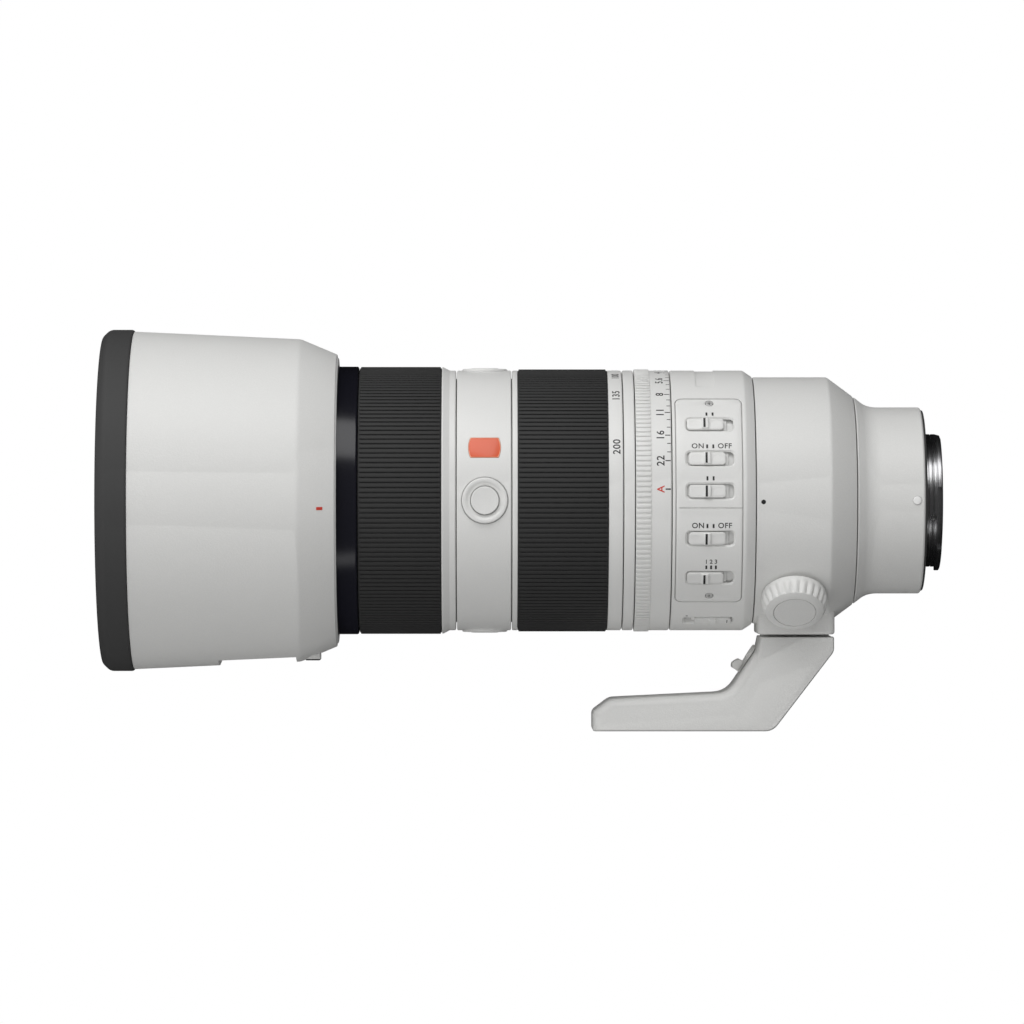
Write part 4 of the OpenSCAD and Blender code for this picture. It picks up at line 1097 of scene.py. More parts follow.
@dataclass
class ButtonBelt:
    """Fixed belt with the hold buttons, their bezels and the bare badge."""

    bore: float = 40.1
    floor: float = 41.0
    bezel_r: float = 7.45
    button_r: float = 4.55
    badge_angle: float = 23.6
    badge: tuple[float, float] = (10.5, 7.0)
    sides: tuple[tuple[str, float], ...] = (("side", 0), ("top", 90), ("bottom", -90))
    belt: Span = span_field("button_belt")

    def build(self) -> None:
        """Builds the belt and all that sits in it."""
        x1, x2, r = self.belt.front, self.belt.back, self.belt.radius
        place = middle_of("hold_button_side").x
        mesh = sleeve(x1, x2, self.bore, r)
        tools = []
        for _, a in self.sides:
            well, rim = self.button_r + 1, self.bezel_r + 0.2
            cup = [(0, 38), (well, 38), (well, self.floor), (rim, self.floor), (rim, 50), (0, 50)]
            tools.append(placed(spun(cup, 96), around(a, place)))
        loop = self.badge_loop(0.1)
        badge_x = place - 0.1
        pocket = shifted(plate([loop], r - 1.1, r + 2, 0.01), badge_x)
        tools.append(placed(pocket, around(self.badge_angle)))
        show(carved(mesh, *tools), "belt_sleeve", "barrel", [BARREL_WHITE], ["button_belt"])
        inner, outer = self.button_r + 0.22, self.bezel_r
        ring = rounded([(inner, self.floor), (inner, 42.45, 0.12), (inner + 0.6, 42.55, 0.35),
                        (inner + 1.5, 43.22, 0.4), (outer - 0.3, 43.2, 0.3), (outer, 42.8, 0.25),
                        (outer, self.floor)], 5)
        bezels = [placed(spun(ring, 96), around(a, place)) for _, a in self.sides]
        show(joined(bezels), "button_bezels", "barrel", [BARREL_WHITE], ["hold_button_bezels"])
        top, skirt = self.button_r, self.button_r + 0.7
        cap = rounded([(0, 40.7), (skirt, 40.7), (skirt, 40.95), (top, 40.96), (top, 43.45, 0.35),
                       (top - 1.0, 43.4, 0.8), (0, 43.3)], 4)
        for side, a in self.sides:
            show(placed(spun(cap, 96), around(a, place)), f"button_{side}", f"hold_{side}", [BARREL_WHITE],
                 [f"hold_button_{side}"])
        self.build_badge(badge_x, r)

    def badge_loop(self, grow: float) -> Outline:
        """Outline of the badge, whose ends bulge, grown by a little."""
        length, width = self.badge
        long, wide = length / 2 + grow, width / 2 + grow
        points = []
        for side in (1, -1):
            for k in range(13):
                t = (k / 6 - 1) * side
                points.append((side * (long - 0.75 * t * t), t * wide))
        return rounded([(x, y, 0.35) if k in (0, 12, 13, 25) else (x, y) for k, (x, y) in enumerate(points)])

    def build_badge(self, x: float, radius: float) -> None:
        """The badge, bare enamel in a thin bright rim."""
        rim = plate([self.badge_loop(0), self.badge_loop(-0.22)], radius - 1, radius + 0.02, 0.05)
        pad = plate([self.badge_loop(-0.2)], radius - 1, radius - 0.06, 0.03)
        mesh = shifted(joined([tinted(rim, 1), pad]), x)
        show(placed(mesh, around(self.badge_angle)), "badge", "barrel", [ENAMEL, RIM], ["badge_plate"])


@dataclass
class ZoomRing:
    """Zoom ring's white sleeve, with its numbered band."""

    bore: float = 40.3
    skin_r: float = 42.7
    numbers: tuple[tuple[str, float], ...] = (("70", 90), ("100", 72), ("135", 53), ("200", 24))
    ring: Span = span_field("zoom_ring")
    grip: Span = span_field("zoom_grip")

    def build(self) -> None:
        """Builds the sleeve and its numbers."""
        x1, x2, r = self.ring.front, self.ring.back, self.skin_r
        seat = 41.4
        outline = rounded([
            (x1, self.bore), (x1, r - 0.3, 0.2), (x1 + 0.3, r, 0.25), (self.grip.front - 0.1, r, 0.1),
            (self.grip.front - 0.1, seat), (self.grip.back + 0.1, seat), (self.grip.back + 0.1, r, 0.1),
            (x2 - 0.3, r, 0.25), (x2, r - 0.3, 0.2), (x2, self.bore)], 3)
        show(revolved(outline), "zoom_sleeve", "zoom", [BARREL_WHITE], ["zoom_ring"])
        marks = Markings(r)
        for text, angle in self.numbers:
            marks.number(text, (self.grip.back + x2) / 2 + 0.4, angle, 3.4)
        marks.show("zoom_numbers", "zoom", INK)


@dataclass
class ApertureRing:
    """Aperture ring with its ribs and scale, and the fixed index band in front of it."""

    bore: float = 40.3
    skin_r: float = 42.7
    rib_length: float = 4.9
    ribs: int = 158
    stops: tuple[tuple[str, float], ...] = (("22", 17.5), ("16", 29.6), ("11", 41.9), ("8", 53.8), ("5.6", 66.2),
                                            ("4", 77.9), ("2.8", 90))
    automatic: float = 4.9
    ring: Span = span_field("aperture_ring")
    band: Span = span_field("index_band")

    def build(self, repeater: Repeater) -> None:
        """Builds both bands.

        Args:
            repeater: Tree that repeats the rib.
        """
        x1, x2, r = self.ring.front, self.ring.back, self.skin_r
        outline = rounded([(x1, self.bore), (x1, r - 0.25, 0.15), (x1 + 0.2, r, 0.1), (x2 - 0.3, r, 0.25),
                           (x2, r - 0.3, 0.2), (x2, self.bore)], 3)
        width = 2 * math.pi * self.ring.radius / self.ribs * 0.66
        rib = block(x1 + 0.1, x1 + self.rib_length, width, r - 0.3, self.ring.radius, 0.2, 2)
        ribs = repeater.copies(placed(rib, around(0)), self.ribs, BARREL_WHITE)
        show(joined([revolved(outline), ribs]), "aperture_sleeve", "aperture", [BARREL_WHITE], ["aperture_ring"],
             sharp=45)
        marks = Markings(r)
        angles = [angle for _, angle in self.stops]
        for text, angle in self.stops:
            marks.number(text, x2 - 3.4, angle, 3.5)
            marks.bar(x2 - 1.15, angle, 1.7, 0.34)
        for one, two in zip(angles, angles[1:]):
            for share in (1, 2):
                marks.bar(x2 - 0.8, one + (two - one) * share / 3, 1.2, 0.26)
        marks.bar(x2 - 1.15, self.automatic, 1.7, 0.42)
        marks.show("aperture_numbers", "aperture", INK)
        auto = Markings(r)
        auto.number("A", x2 - 3.4, self.automatic, 3.4)
        auto.show("aperture_auto_mark", "aperture", RED_INK)
        fixed = sleeve(self.band.front, self.band.back, self.bore - 0.2, r)
        show(fixed, "index_sleeve", "barrel", [BARREL_WHITE], ["index_band"])
        index = Markings(r)
        index.bar(self.band.middle, 90, 2.4, 0.4)
        index.show("index_line", "barrel", INK)


@dataclass
class SwitchSection:
    """Barrel section with the switch panel, its sliders and screws."""

    bore: float = 40.1
    skin_r: float = 42.7
    collar_r: float = 40.7
    panel_half: float = 50.4
    corner: float = 2.2
    slot: tuple[float, float] = (15.2, 4.7)
    slider: tuple[float, float] = (11.8, 4.1)
    floor: float = 40.8
    groove_angle: float = -3.3
    screw_angles: tuple[float, float] = (47.6, -46.6)
    screw_hole_r: float = 1.36
    nodes: tuple[tuple[str, str], ...] = (
        ("focus_mode_switch", "mode_slider"), ("full_time_switch", "full_time_slider"),
        ("focus_limit_switch", "limit_slider"), ("stabiliser_switch", "steady_slider"),
        ("stabiliser_mode_switch", "steady_mode_slider"), ("iris_lock_switch", "iris_lock_slider"),
        ("iris_click_switch", "iris_click_slider"))
    barrel: Span = span_field("switch_barrel")
    panel: Span = span_field("switch_panel")

    def angle(self, node: str) -> float:
        """Angle round the axis of a switch."""
        return angle_of(middle_of(node))

    @property
    def slot_x(self) -> float:
        """Station of the middle of the slots."""
        return self.barrel.front + 12.2

    def loop(self, grow: float) -> Outline:
        """Outline of the panel, laid flat and grown by a little."""
        width = 2 * math.radians(self.panel_half) * self.skin_r
        return rounded_rectangle(0, 0, self.panel.back - self.panel.front + 2 * grow, width + 2 * grow,
                                 self.corner + grow)

    def slot_loop(self, angle: float, grow: float = 0) -> Outline:
        """Outline of a slot on the flat panel."""
        return rounded_rectangle(self.slot_x - self.panel.middle, math.radians(angle) * self.skin_r,
                                 self.slot[0] + 2 * grow, self.slot[1] + 2 * grow, 1.3 + grow)

    def build(self) -> None:
        """Builds the section."""
        self.build_barrel()
        self.build_panel()
        for node, body in self.nodes:
            self.build_slider(node, body)
        self.build_screws()
        self.build_marks()

    def build_barrel(self) -> None:
        """The barrel, with the panel's recess, the two loose slots and a bare plaque on top."""
        x1, x2, r = self.barrel.front, self.barrel.back, self.skin_r
        body = revolved(rounded([(x1, self.bore), (x1, r - 0.3, 0.2), (x1 + 0.3, r, 0.2), (x2 - 3, r, 0.5),
                                 (x2, self.collar_r, 0.2), (x2, self.bore)], 3), segments=360)
        recess = shifted(plate([self.loop(0.3)], r - 0.95, r + 2, 0.01), self.panel.middle)
        tools = [wrapped(recess, r, 0, 0.8)]
        plaque = shifted(plate([rounded_rectangle(0, 0, 6.4, 45, 1.0)], r - 0.3, r + 2, 0.01), x1 + 11.2)
        tools.append(wrapped(plaque, r, 90, 0.8))
        for node, _ in self.nodes:
            a = self.angle(node)
            if abs(a) > self.panel_half:
                long, wide = self.slot[0] + 0.7, self.slot[1] + 0.4
                shape = placed(plate([rounded_rectangle(0, 0, long, wide, 1.2)], self.floor, r + 2, 0.01),
                               around(a, self.slot_x))
                rim = tapered(rounded_rectangle(0, 0, long - 0.1, wide - 0.1, 1.2),
                              rounded_rectangle(0, 0, long + 1.2, wide + 1.2, 1.8), r - 0.6, r + 0.1)
                tools += [shape, placed(rim, around(a, self.slot_x))]
            else:
                tools.append(placed(block(-8.9, 8.9, 6.5, self.floor, r + 1), around(a, self.slot_x)))
        mesh = carved(body, *tools)
        show(mesh, "switch_section", "barrel", [BARREL_WHITE], ["switch_barrel"])

    def build_panel(self) -> None:
        """The curved panel, with five rimmed slots and a groove across."""
        r = self.skin_r
        loops = [self.loop(0)]
        for node, _ in self.nodes[:5]:
            loops.append(self.slot_loop(self.angle(node)))
        screws = [math.radians(a) * r for a in self.screw_angles]
        for y in screws:
            loops.append([(self.slot_x - self.panel.middle + self.screw_hole_r * math.cos(math.radians(15 * k)),
                           y + self.screw_hole_r * math.sin(math.radians(15 * k))) for k in range(24)])
        flat = plate(loops, r - 0.8, r + 0.02, 0.2)
        panel = wrapped(shifted(flat, self.panel.middle), r, 0, 0.8)
        groove = revolved([(self.panel.front + 1.0, r - 0.3), (self.panel.front + 1.0, r + 1),
                           (self.panel.back + 1, r + 1), (self.panel.back + 1, r - 0.3)],
                          self.groove_angle - 0.33, self.groove_angle + 0.33, 720)
        tools = [groove]
        for node, _ in self.nodes[:5]:
            a = self.angle(node)
            cut = tapered(self.slot_loop(a, -0.05), self.slot_loop(a, 0.65), r - 0.6, r + 0.1)
            tools.append(wrapped(shifted(cut, self.panel.middle), r, 0, 0.8))
        show(carved(panel, *tools), "panel_plate", "barrel", [BARREL_WHITE], ["switch_panel"], sharp=30)

    def build_slider(self, node: str, body: str) -> None:
        """A slider with two hollowed pads and a ridge that carries a dark line.

        Args:
            node: CAD node of the switch.
            body: CAD body of the slider.
        """
        centre, angle, r = middle_of(node), self.angle(node), self.skin_r
        length, width = self.slider
        base = block(-length / 2 - 1, length / 2 + 1, 5.8, self.floor + 0.15, self.floor + 0.65, 0.1, 2)
        pad = plate([rounded_rectangle(0, 0, length, width, 1.0)], self.floor + 0.6, r + 0.25, 0.15)
        hollows = [placed(spun(rounded([(0, 0), (1.35, 0), (1.7, 0.5), (0, 0.5)]), 40),
                          Matrix.Translation((s * 3.3, 0, r + 0.2)) @ Matrix.Diagonal((1.25, 0.85, 1, 1)))
                   for s in (-1, 1)]
        ridge = block(-1.15, 1.15, width - 0.1, r - 0.3, r + 0.9, 0.25, 3)
        mesh = joined([base, carved(pad, *hollows), ridge])
        line = shifted(block(-0.36, 0.36, width - 0.5, r + 0.6, r + 0.94, 0.05, 2), -0.25)
        if "iris" in node:
            line = shifted(block(-0.12, 0.12, width - 1.6, r, r + 0.33, 0.02, 1), 4.7)
        whole = joined([mesh, tinted(line, 1)])
        show(placed(whole, around(angle, centre.x)), f"{node}_slider", body, [BARREL_WHITE, INK], [node],
             sharp=40)

    def build_screws(self) -> None:
        """The two cross-head screws of the panel, each over a black disc that is painted shade in the gap round
        its head.
        """
        r = self.skin_r
        parts = []
        for angle in self.screw_angles:
            head = cross_head([(0, r - 1.2), (1.15, r - 1.2), (1.15, r - 0.12, 0.12), (0.7, r - 0.02, 0.3),
                               (0, r)], 0.75, 0.3, r - 0.6, 40)
            # Black disc under the head: painted shade in the gap between the head and the panel's hole.
            pit = pin(1.34, r - 1.0, r - 0.6)
            parts.append(placed(joined([head, tinted(pit, 1)]), around(angle, self.slot_x)))
        show(joined(parts), "panel_screw_heads", "barrel", [DARK_STEEL, INK], ["panel_screws"])

    def build_marks(self) -> None:
        """Travel bars over the slots, ON and OFF signs, plain digits and a small pointer."""
        marks = Markings(self.skin_r + 0.02)
        x = self.slot_x
        for node, _ in self.nodes[:5]:
            a = self.angle(node)
            modes = node == "stabiliser_mode_switch"
            ends = [-1.2, 0.35, 1.9] if modes else [-1, 1]
            for end in ends:
                marks.bar(x + end, a + 5.6, 0.6, 1.35)
            if node in ("full_time_switch", "stabiliser_switch"):
                marks.sign("ON", x - 4.0, a + 5.7, 2.5)
                marks.sign("OFF", x + 4.7, a + 5.7, 2.5)
            if modes:
                for end, text in zip(ends, "123"):
                    marks.sign(text, x + end, a + 8.3, 2.1)
        lock = self.angle("iris_lock_switch")
        marks.dot(x - 7.0, lock + 5, 0.9, 3, math.pi)
        marks.show("switch_marks", "barrel", INK)


@dataclass
class Collar:
    """Tripod collar with its pedestal, dovetail, knob and index dot."""

    ring_r: float = 40.5
    bore: float = 37.9
    cone_length: float = 8.4
    cone_r: float = 34.3
    cone_in: float = 31.1
    pedestal_drop: float = 43.8
    pedestal_width: float = 32.0
    knob_angle: float = -49.5
    knob_seat: float = 40.8
    teeth: int = 24
    ring: Span = span_field("collar_ring")

    def build(self, repeater: Repeater) -> None:
        """Builds the collar and its knob.

        Args:
            repeater: Tree that repeats the knob's flutes.
        """
        self.build_ring()
        self.build_knob(repeater)

    def build_ring(self) -> None:
        """The ring and its pedestal, cast in one."""
        x1, x2, r = self.ring.front, self.ring.back, self.ring_r
        bend = x2 - self.cone_length
        outer = revolved(rounded([(x1, 0), (x1, r - 0.3, 0.25), (x1 + 0.35, r, 0.3), (bend, r, 0.7),
                                  (x2, self.cone_r, 0.2), (x2, 0)], 3), segments=360)
        front, back = x1 + 1.3, bend + 2.1
        pedestal = block(front, back, self.pedestal_width, -self.pedestal_drop, -20, 0)
        upright = [e for e in pedestal.edges if abs(e.verts[0].co.z - e.verts[1].co.z) > 1]
        bmesh.ops.bevel(pedestal, geom=upright, offset=2.2, segments=5, profile=0.5, affect="EDGES")
        lower = [e for e in pedestal.edges if all(v.co.z < 1 - self.pedestal_drop for v in e.verts)]
        bmesh.ops.bevel(pedestal, geom=lower, offset=0.9, segments=4, profile=0.5, affect="EDGES")
        rail = [(-7, -42), (7, -42), (7, -45.4), (9.5, -47.4), (9.5, -48), (-9.5, -48), (-9.5, -47.4),
                (-7, -45.4)]
        tail = placed(extruded(rail, front + 1.7, back - 1.5), ALONG_AXIS)
        mesh = carved(outer, pedestal, tail, mode="UNION")
        bore = revolved([(x1 - 1, 0), (x1 - 1, self.bore), (bend - 0.8, self.bore), (x2, self.cone_in),
                         (x2 + 1, self.cone_in), (x2 + 1, 0)], segments=180)
        show(carved(mesh, bore), "collar_body", "collar", [CAST_WHITE], ["collar_ring"], sharp=30)
        marks = Markings(r)
        marks.dot(x1 + 2.2, -0.7, 1.5)
        marks.show("collar_index_dot", "collar", INK)

    def build_knob(self, repeater: Repeater) -> None:
        """The clamp knob: broad flutes that fade into a chamfer, and a disc let into its face."""
        low = self.knob_seat
        rise = [(0.0, 10.2, 0.0), (0.3, 10.6, 0.0), (1.2, 10.72, 0.0), (2.0, 10.74, 0.1), (2.8, 10.7, 0.45),
                (4.0, 10.5, 0.72), (5.2, 10.1, 0.75), (5.9, 9.75, 0.6), (6.2, 9.55, 0.3), (6.32, 9.45, 0.06),
                (6.4, 9.3, 0.0), (7.14, 7.2, 0.0), (7.16, 7.02, 0.0), (7.05, 6.95, 0.0), (6.6, 6.95, 0.0),
                (6.55, 6.9, 0.0), (6.55, 0.0, 0.0)]
        columns = 12
        wedge = bmesh.new()
        rows = []
        for z, r, depth in [(0.0, 0.0, 0.0), *rise]:
            row = []
            for k in range(columns + 1):
                share = k / columns
                a = 2 * math.pi / self.teeth * (share - 0.5)
                groove = (0.5 - 0.5 * math.cos(2 * math.pi * share)) ** 0.55
                reach = r - depth * (1 - groove)
                row.append(wedge.verts.new((reach * math.cos(a), reach * math.sin(a), low + z)))
            rows.append(row)
        for one, two in zip(rows, rows[1:]):
            bridge(wedge, one, two, ring=False)
        knob = closed(repeater.copies(wedge, self.teeth, CAST_WHITE, axis=(0, 0, 1)))
        x = middle_of("knob_cap").x
        stem = pin(2.5, 38.2, 40.9, 32)
        show(placed(joined([knob, stem]), around(self.knob_angle, x)), "clamp_knob", "knob", [CAST_WHITE],
             ["collar_knob"], sharp=40)
        disc = spun(rounded([(0, low + 6.58), (6.76, low + 6.58), (6.76, low + 7.1, 0.1), (0, low + 7.12)]), 96)
        show(placed(disc, around(self.knob_angle, x)), "knob_disc", "knob", [CAST_WHITE], ["knob_cap"])


@dataclass
class Foot:
    """Tripod foot, its threaded bush and its latch lever."""

    thread_r: float = 2.55
    thread_pitch: float = 1.27
    bush_r: float = 5.0
    width: float = 32.0
    side_bevel: float = 3.2
    lever_pivot: tuple[float, float] = (-55.9, -50.64)
    lever_angle: float = 57.0

    def build(self) -> None:
        """Builds the foot's pieces."""
        self.build_body()
        self.build_lever()
        self.build_bush()

    def build_body(self) -> None:
        """The cast foot: broad rounded edges along its toe and up its neck, and the dovetail's channel."""
        low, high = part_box("foot")
        toe, heel, sole, top = low.x / MM, high.x / MM, low.z / MM, high.z / MM
        broad, fine = self.side_bevel, 0.6
        corners = [(toe, sole, 1.0), (toe, sole + 6.3, 1.2), (toe + 5.7, sole + 10.6, 1.5),
                   (toe + 44.2, sole + 12.5, 4.0), (toe + 53.9, top - 4.2, 1.5), (toe + 54.8, top, 0.3),
                   (heel, top, 0.4), (heel, top - 4.8, 1.2), (heel - 20, sole, 2.6)]
        bevels = [broad] * 4 + [0.8, 0.3, fine, fine, fine]
        mesh = bmesh.new()
        layers = []
        steps = 7
        for sign in (-1, 1):
            for k in range(steps + 1):
                turn = math.pi / 2 * (k if sign < 0 else steps - k) / steps
                y = sign * (self.width / 2 - broad * (1 - math.cos(turn)))
                outline = rounded(inset(corners, [b * (1 - math.sin(turn)) for b in bevels]), 5)
                layers.append([mesh.verts.new((x, y, z)) for x, z in outline])
        for one, two in zip(layers, layers[1:]):
            bridge(mesh, one, two)
        mesh.faces.new(layers[0])
        mesh.faces.new(layers[-1])
        closed(mesh)
        rail = [(-7.25, top + 1), (7.25, top + 1), (7.25, top - 0.7), (9.75, top - 2.7), (9.75, top - 3.65),
                (-9.75, top - 3.65), (-9.75, top - 2.7), (-7.25, top - 0.7)]
        channel = placed(extruded(rail, toe + 55.3, heel + 1), ALONG_AXIS)
        bore = shifted(pin(self.bush_r + 0.1, sole - 1, sole + 9.1, 64), middle_of("foot_bush").x)
        show(carved(mesh, channel, bore), "foot_body", "foot", [CAST_WHITE], ["foot"], sharp=30)

    def build_lever(self) -> None:
        """The latch lever, a flat arm that ends in a slanted thumb block."""
        arm = block(-7.2, 0, 5, 0.3, 1.5, 0.25, 2)
        boss = spun(rounded([(0, 0.3), (3, 0.3), (3, 1.55, 0.3), (0, 1.6)]), 40)
        outline = rounded([(-7.2, 1.2), (-7.2, 3.4, 0.5), (-5.9, 4.3, 0.6), (-3.6, 3.1, 0.6), (-3.4, 1.2)])
        thumb = placed(extruded(outline, -4, 4), UPRIGHT)
        sides = [e for e in thumb.edges if abs(e.verts[0].co.y - e.verts[1].co.y) < 0.01]
        bmesh.ops.bevel(thumb, geom=sides, offset=0.3, segments=2, profile=0.5, affect="EDGES")
        x, z = self.lever_pivot
        place = Matrix.Translation((x, 0, z)) @ Matrix.Rotation(math.radians(-self.lever_angle), 4, "Y")
        show(placed(joined([arm, boss, thumb]), place), "latch_lever", "lever", [CAST_WHITE], ["foot_lever"],
             sharp=35)

    def build_bush(self) -> None:
        """The steel bush, with its thread."""
        low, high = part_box("foot_bush")
        z1, z2, x = low.z / MM, high.z / MM, middle_of("foot_bush").x
        points = [(self.bush_r, z1), (self.bush_r, z2), (self.thread_r + 0.6, z2)]
        turns = int((z2 - z1 - 0.8) / self.thread_pitch)
        for k in range(turns, 0, -1):
            z = z1 + 0.5 + k * self.thread_pitch
            points += [(self.thread_r + 0.6, z), (self.thread_r, z - self.thread_pitch / 2)]
        points += [(self.thread_r + 0.6, z1 + 0.4), (self.thread_r + 1.0, z1)]
        show(shifted(spun(points, 64), x), "threaded_bush", "foot", [STEEL], ["foot_bush"], sharp=40)


@dataclass
class RearEnd:
    """Rear barrel, with its mounting dot, gasket and bayonet."""

    barrel_r: float = 30.6
    cone_r: float = 33.9
    bore: float = 29.4
    flange_r: float = 28.0
    spigot_r: float = 21.8
    throat_r: float = 20.2
    lug_r: float = 23.0
    screw_r: float = 25.9
    seal_bore: float = 28.1
    lock_angle: float = 170.0
    side_screw_angle: float = -15.0
    lugs: tuple[tuple[float, float], ...] = ((11, 63), (-95, -44), (139, 191))
    barrel: Span = span_field("rear_barrel")
    mount: Span = span_field("bayonet")

    def build(self, repeater: Repeater) -> None:
        """Builds the rear end.

        Args:
            repeater: Tree that repeats the screws.
        """
        self.build_barrel()
        self.build_bayonet()
        self.build_screws(repeater)

    def build_barrel(self) -> None:
        """The rear barrel, which flares into the collar's cone, its dot and its gasket."""
        x1, x2, r = self.barrel.front, self.barrel.back, self.barrel_r
        body = revolved(rounded([(x1, self.bore), (x1, self.cone_r - 0.3, 0.15), (x1 + 0.3, self.cone_r, 0.2),
                                 (x1 + 4.6, r, 3.4), (x2 - 0.5, r, 0.35), (x2, r - 0.55, 0.2),
                                 (x2, self.seal_bore), (-2.65, self.seal_bore), (-2.65, self.bore)], 8))
        dot = middle_of("mount_dot").x
        pit = placed(pin(1.5, r - 0.45, r + 2), around(0, dot))
        show(carved(body, pit), "rear_sleeve", "barrel", [CAST_WHITE], ["rear_barrel"])
        bead = spun(rounded([(0, r - 0.4), (1.4, r - 0.4), (1.4, r + 0.25, 0.25), (0.9, r + 0.42, 0.3),
                             (0, r + 0.45)]), 40)
        show(placed(bead, around(0, dot)), "mounting_dot", "barrel", [DOT_WHITE], ["mount_dot"])
        seal = Span.of("mount_gasket")
        outline = rounded([(seal.front, self.seal_bore), (seal.front, seal.radius + 0.5, 0.1),
                           (seal.back, seal.radius + 0.3, 0.3), (seal.back + 0.08, self.seal_bore)])
        show(revolved(outline), "gasket_ring", "barrel", [BUMPER], ["mount_gasket"])

    def build_bayonet(self) -> None:
        """The chromed bayonet, with its lugs and its holes."""
        end, r = self.mount.back, self.spigot_r
        body = revolved(rounded([(-2.6, self.throat_r), (-2.6, self.flange_r), (-0.1, self.flange_r, 0.15),
                                 (0, self.flange_r - 0.3, 0.15), (0, r - 0.6), (0.9, r - 0.6), (0.95, r, 0.1),
                                 (2.3, r, 0.1), (2.4, r - 0.25), (2.6, r - 0.25), (2.7, r, 0.1), (end - 1.65, r),
                                 (end, r - 0.4, 0.2), (end, self.throat_r, 0.2)], 3))
        lugs = []
        for one, two in self.lugs:
            lugs.append(revolved(rounded([(end - 1.6, r - 0.5), (end - 1.6, self.lug_r, 0.12),
                                          (end - 0.35, self.lug_r, 0.2), (end - 0.1, self.lug_r - 0.4, 0.2),
                                          (end - 0.1, r - 0.5)]), one, two))
        tools = [placed(pin(1.6, -1.3, 2), self.facing(a)) for a in (45, 135, 225, 315)]
        tools.append(placed(pin(1.5, -4, 2), self.facing(self.lock_angle)))
        tools.append(placed(pin(0.9, r - 1, r + 2, 32), around(self.side_screw_angle, end - 3)))
        show(joined([carved(body, *tools), *lugs]), "bayonet_body", "barrel", [CHROME], ["bayonet"])

    def facing(self, angle: float) -> Matrix:
        """Frame on the mount's face at an angle, with its Z towards the camera."""
        turn = Matrix(((0, 0, 1, 0), (0, 1, 0, 0), (-1, 0, 0, self.screw_r), (0, 0, 0, 1)))
        return around(angle) @ turn

    def build_screws(self, repeater: Repeater) -> None:
        """The four screws of the mount's face and the small one in its side."""
        head = cross_head([(0, -1.25), (1.48, -1.25), (1.48, -0.3, 0.12), (0.8, -0.12, 0.3), (0, -0.1)],
                          0.95, 0.34, -0.65)
        ring = repeater.copies(placed(head, self.facing(45)), 4, STEEL, step=90)
        r = self.spigot_r
        side = cross_head([(0, r - 0.95), (0.8, r - 0.95), (0.8, r - 0.15, 0.1), (0, r - 0.08)],
                          0.55, 0.2, r - 0.4)
        small = placed(side, around(self.side_screw_angle, self.mount.back - 3))
        show(joined([ring, small]), "mount_screws", "barrel", [STEEL], ["bayonet_screws"])


@dataclass
class Innards:
    """CAD nodes that keep their own shape, and the finish of each."""

    finishes: dict[str, Finish | Coating] = field(default_factory=lambda: {
        "focus_cell": BLACK, "focus_glass": INNER_COATING, "focus_rods": STEEL, "focus_motor": GOLD,
        "main_barrel": INNER, "zoom_key": STEEL, "cam_barrel": BLACK, "guide_barrel": BLACK, "zoom_cell": BLACK,
        "zoom_glass": INNER_COATING, "iris_housing": BLACK, "iris_blades": BLACK, "stabiliser_frame": BLACK,
        "stabiliser_cell": BLACK, "stabiliser_glass": INNER_COATING, "rear_cell": INNER,
        "rear_glass": FRONT_COATING, "circuit_board": BOARD, "contact_block": BLACK, "contact_pins": GOLD})

    def dress(self) -> None:
        """Gives every node its finish."""
        for name, finish in self.finishes.items():
            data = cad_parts[name].data
            data.materials.clear()
            data.materials.append(finish.material())
            LOG.info("%s keeps its shape, in %s", name, finish.name)


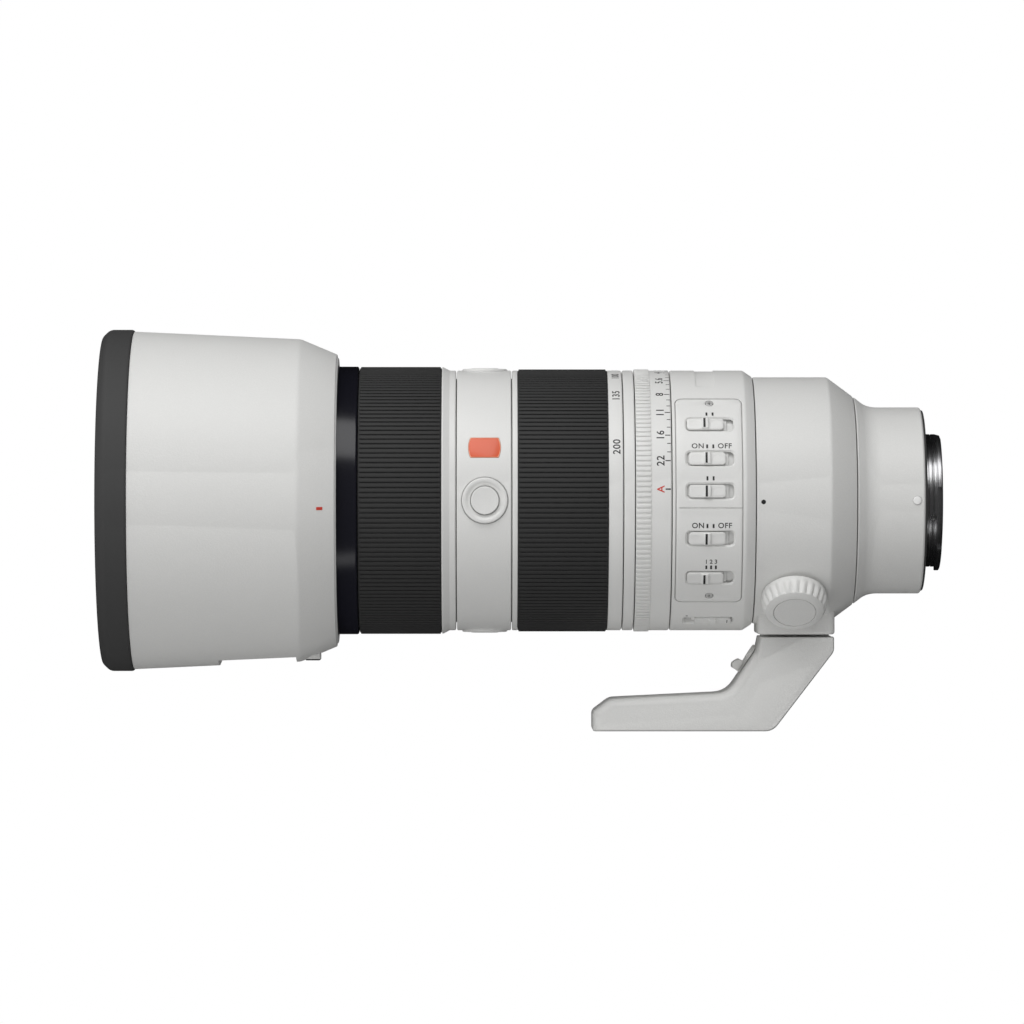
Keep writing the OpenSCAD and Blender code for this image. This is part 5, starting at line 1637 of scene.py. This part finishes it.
@dataclass
class Studio:
    """Camera, floor, backdrop light and soft lights."""

    distance: float = 2.14
    lens: float = 228.7
    shift: tuple[float, float] = (0.0264, -0.0113)
    station: float = -0.14375
    room_dim: float = 0.09
    room_bright: float = 0.95
    mirror_share: float = 0.035
    bright_side: tuple[float, float, float] = (-0.38, -0.92, 0.06)
    floor_reach: float = 30.0

    def build(self) -> None:
        """Sets the studio up."""
        self.set_camera()
        self.lay_floor()
        self.light_room()
        self.add_light("key", 56, 24, 0.9, (1.1, 0.55), 4.6)
        self.add_light("low strip", -52, 20, 0.9, (0.9, 0.16), 0.5)
        self.add_light("fill", -32, 24, 0.9, (0.9, 0.5), 2.6, False)
        self.add_light("back", 8, 190, 0.9, (0.8, 0.6), 3.0, False)

    def set_camera(self) -> None:
        """A long lens that looks straight at the switch side."""
        data = bpy.data.cameras.new("camera")
        data.lens, data.sensor_width = self.lens, 36
        data.shift_x, data.shift_y = self.shift
        camera = linked("camera", data)
        camera.location = (self.station, -self.distance, 0)
        camera.rotation_euler = (math.pi / 2, 0, 0)
        bpy.context.scene.camera = camera

    def lay_floor(self) -> None:
        """A wide pale floor under the foot."""
        mesh = bmesh.new()
        low = CAD_BOX[0].z
        r = self.floor_reach
        mesh.faces.new([mesh.verts.new((x, y, low - 0.0002)) for x, y in ((-r, -r), (r, -r), (r, r), (-r, r))])
        data = bpy.data.meshes.new("floor")
        mesh.to_mesh(data)
        mesh.free()
        material = bpy.data.materials.new("pale_floor")
        material.use_nodes = True
        tree = material.node_tree
        shader = fed(tree.nodes["Principled BSDF"], {"Base Color": (0.3, 0.3, 0.3, 1), "Roughness": 0.9,
                                                     "Specular IOR Level": 0})
        glow = wired(tree, "ShaderNodeEmission", {"Strength": 1.0})
        seen = tree.nodes.new("ShaderNodeLightPath").outputs["Is Camera Ray"]
        mix = wired(tree, "ShaderNodeMixShader", {"Fac": seen, 1: shader.outputs[0], 2: glow.outputs[0]})
        fed(tree.nodes["Material Output"], {"Surface": mix.outputs[0]})
        data.materials.append(material)
        floor = linked("floor", data)
        floor.visible_shadow = floor.visible_glossy = False

    def light_room(self) -> None:
        """White where it is seen; its light comes mostly from the front, a little from the left."""
        scene = bpy.context.scene
        scene.view_settings.view_transform = "Standard"
        world = bpy.data.worlds.new("room")
        world.use_nodes = True
        scene.world = world
        tree = world.node_tree
        around_us = tree.nodes.new("ShaderNodeTexCoord").outputs["Generated"]
        toward = wired(tree, "ShaderNodeVectorMath", {0: around_us, 1: self.bright_side}, operation="DOT_PRODUCT")
        rise = wired(tree, "ShaderNodeMapRange", {
            "Value": toward.outputs["Value"], "From Min": -0.2, "From Max": 1.0, "To Min": self.room_dim,
            "To Max": self.room_bright}, interpolation_type="SMOOTHSTEP")
        path = tree.nodes.new("ShaderNodeLightPath").outputs
        calm = wired(tree, "ShaderNodeMapRange", {"To Min": 1.0, "To Max": self.mirror_share,
                                                  "Value": path["Is Glossy Ray"]})
        power = wired(tree, "ShaderNodeMath", {0: rise.outputs["Result"], 1: calm.outputs["Result"]},
                      operation="MULTIPLY")
        light = fed(tree.nodes["Background"], {"Color": (1, 1, 1, 1), "Strength": power.outputs[0]})
        seen = wired(tree, "ShaderNodeBackground", {"Color": (1, 1, 1, 1)})
        mix = wired(tree, "ShaderNodeMixShader", {"Fac": path["Is Camera Ray"], 1: light.outputs[0],
                                                  2: seen.outputs[0]})
        fed(tree.nodes["World Output"], {"Surface": mix.outputs[0]})

    def add_light(self, name: str, height: float, side: float, reach: float, size: tuple[float, float],
                  power: float, mirrored: bool = True) -> None:
        """Adds a soft box that looks at the lens from the camera's side.

        Args:
            name: Name of the light.
            height: Its height above the level, in degrees.
            side: How far it stands to the left, in degrees.
            reach: Its distance from the lens, in metres.
            size: Its length along the lens, and its width.
            power: Its power, in watts.
            mirrored: Whether shiny surfaces show it.
        """
        data = bpy.data.lights.new(name, "AREA")
        data.shape = "RECTANGLE"
        data.size, data.size_y = size
        data.energy = power
        light = linked(name, data)
        light.visible_glossy, light.visible_camera = mirrored, False
        up, left = math.radians(height), math.radians(side)
        away = Vector((-math.sin(left) * math.cos(up), -math.cos(left) * math.cos(up), math.sin(up)))
        light.location = Vector((self.station, 0, 0)) + away * reach
        light.rotation_euler = away.to_track_quat("Z", "Y").to_euler()


def main() -> None:
    """Builds the lens, one sub-assembly at a time, then the studio."""
    logging.basicConfig(level=logging.INFO, format="%(name)s: %(message)s")
    repeater = Repeater()
    Studio().build()
    Hood().build()
    FrontEnd().build()
    FocusRing().build()
    Grip("focus_grip", "focus_grip_sleeve", "focus", 41.8, 168).build(repeater)
    ButtonBelt().build()
    ZoomRing().build()
    Grip("zoom_grip", "zoom_grip_sleeve", "zoom", 41.5, 165).build(repeater)
    ApertureRing().build(repeater)
    SwitchSection().build()
    Collar().build(repeater)
    Foot().build()
    RearEnd().build(repeater)
    Innards().dress()


if __name__ == "__main__":
    main()
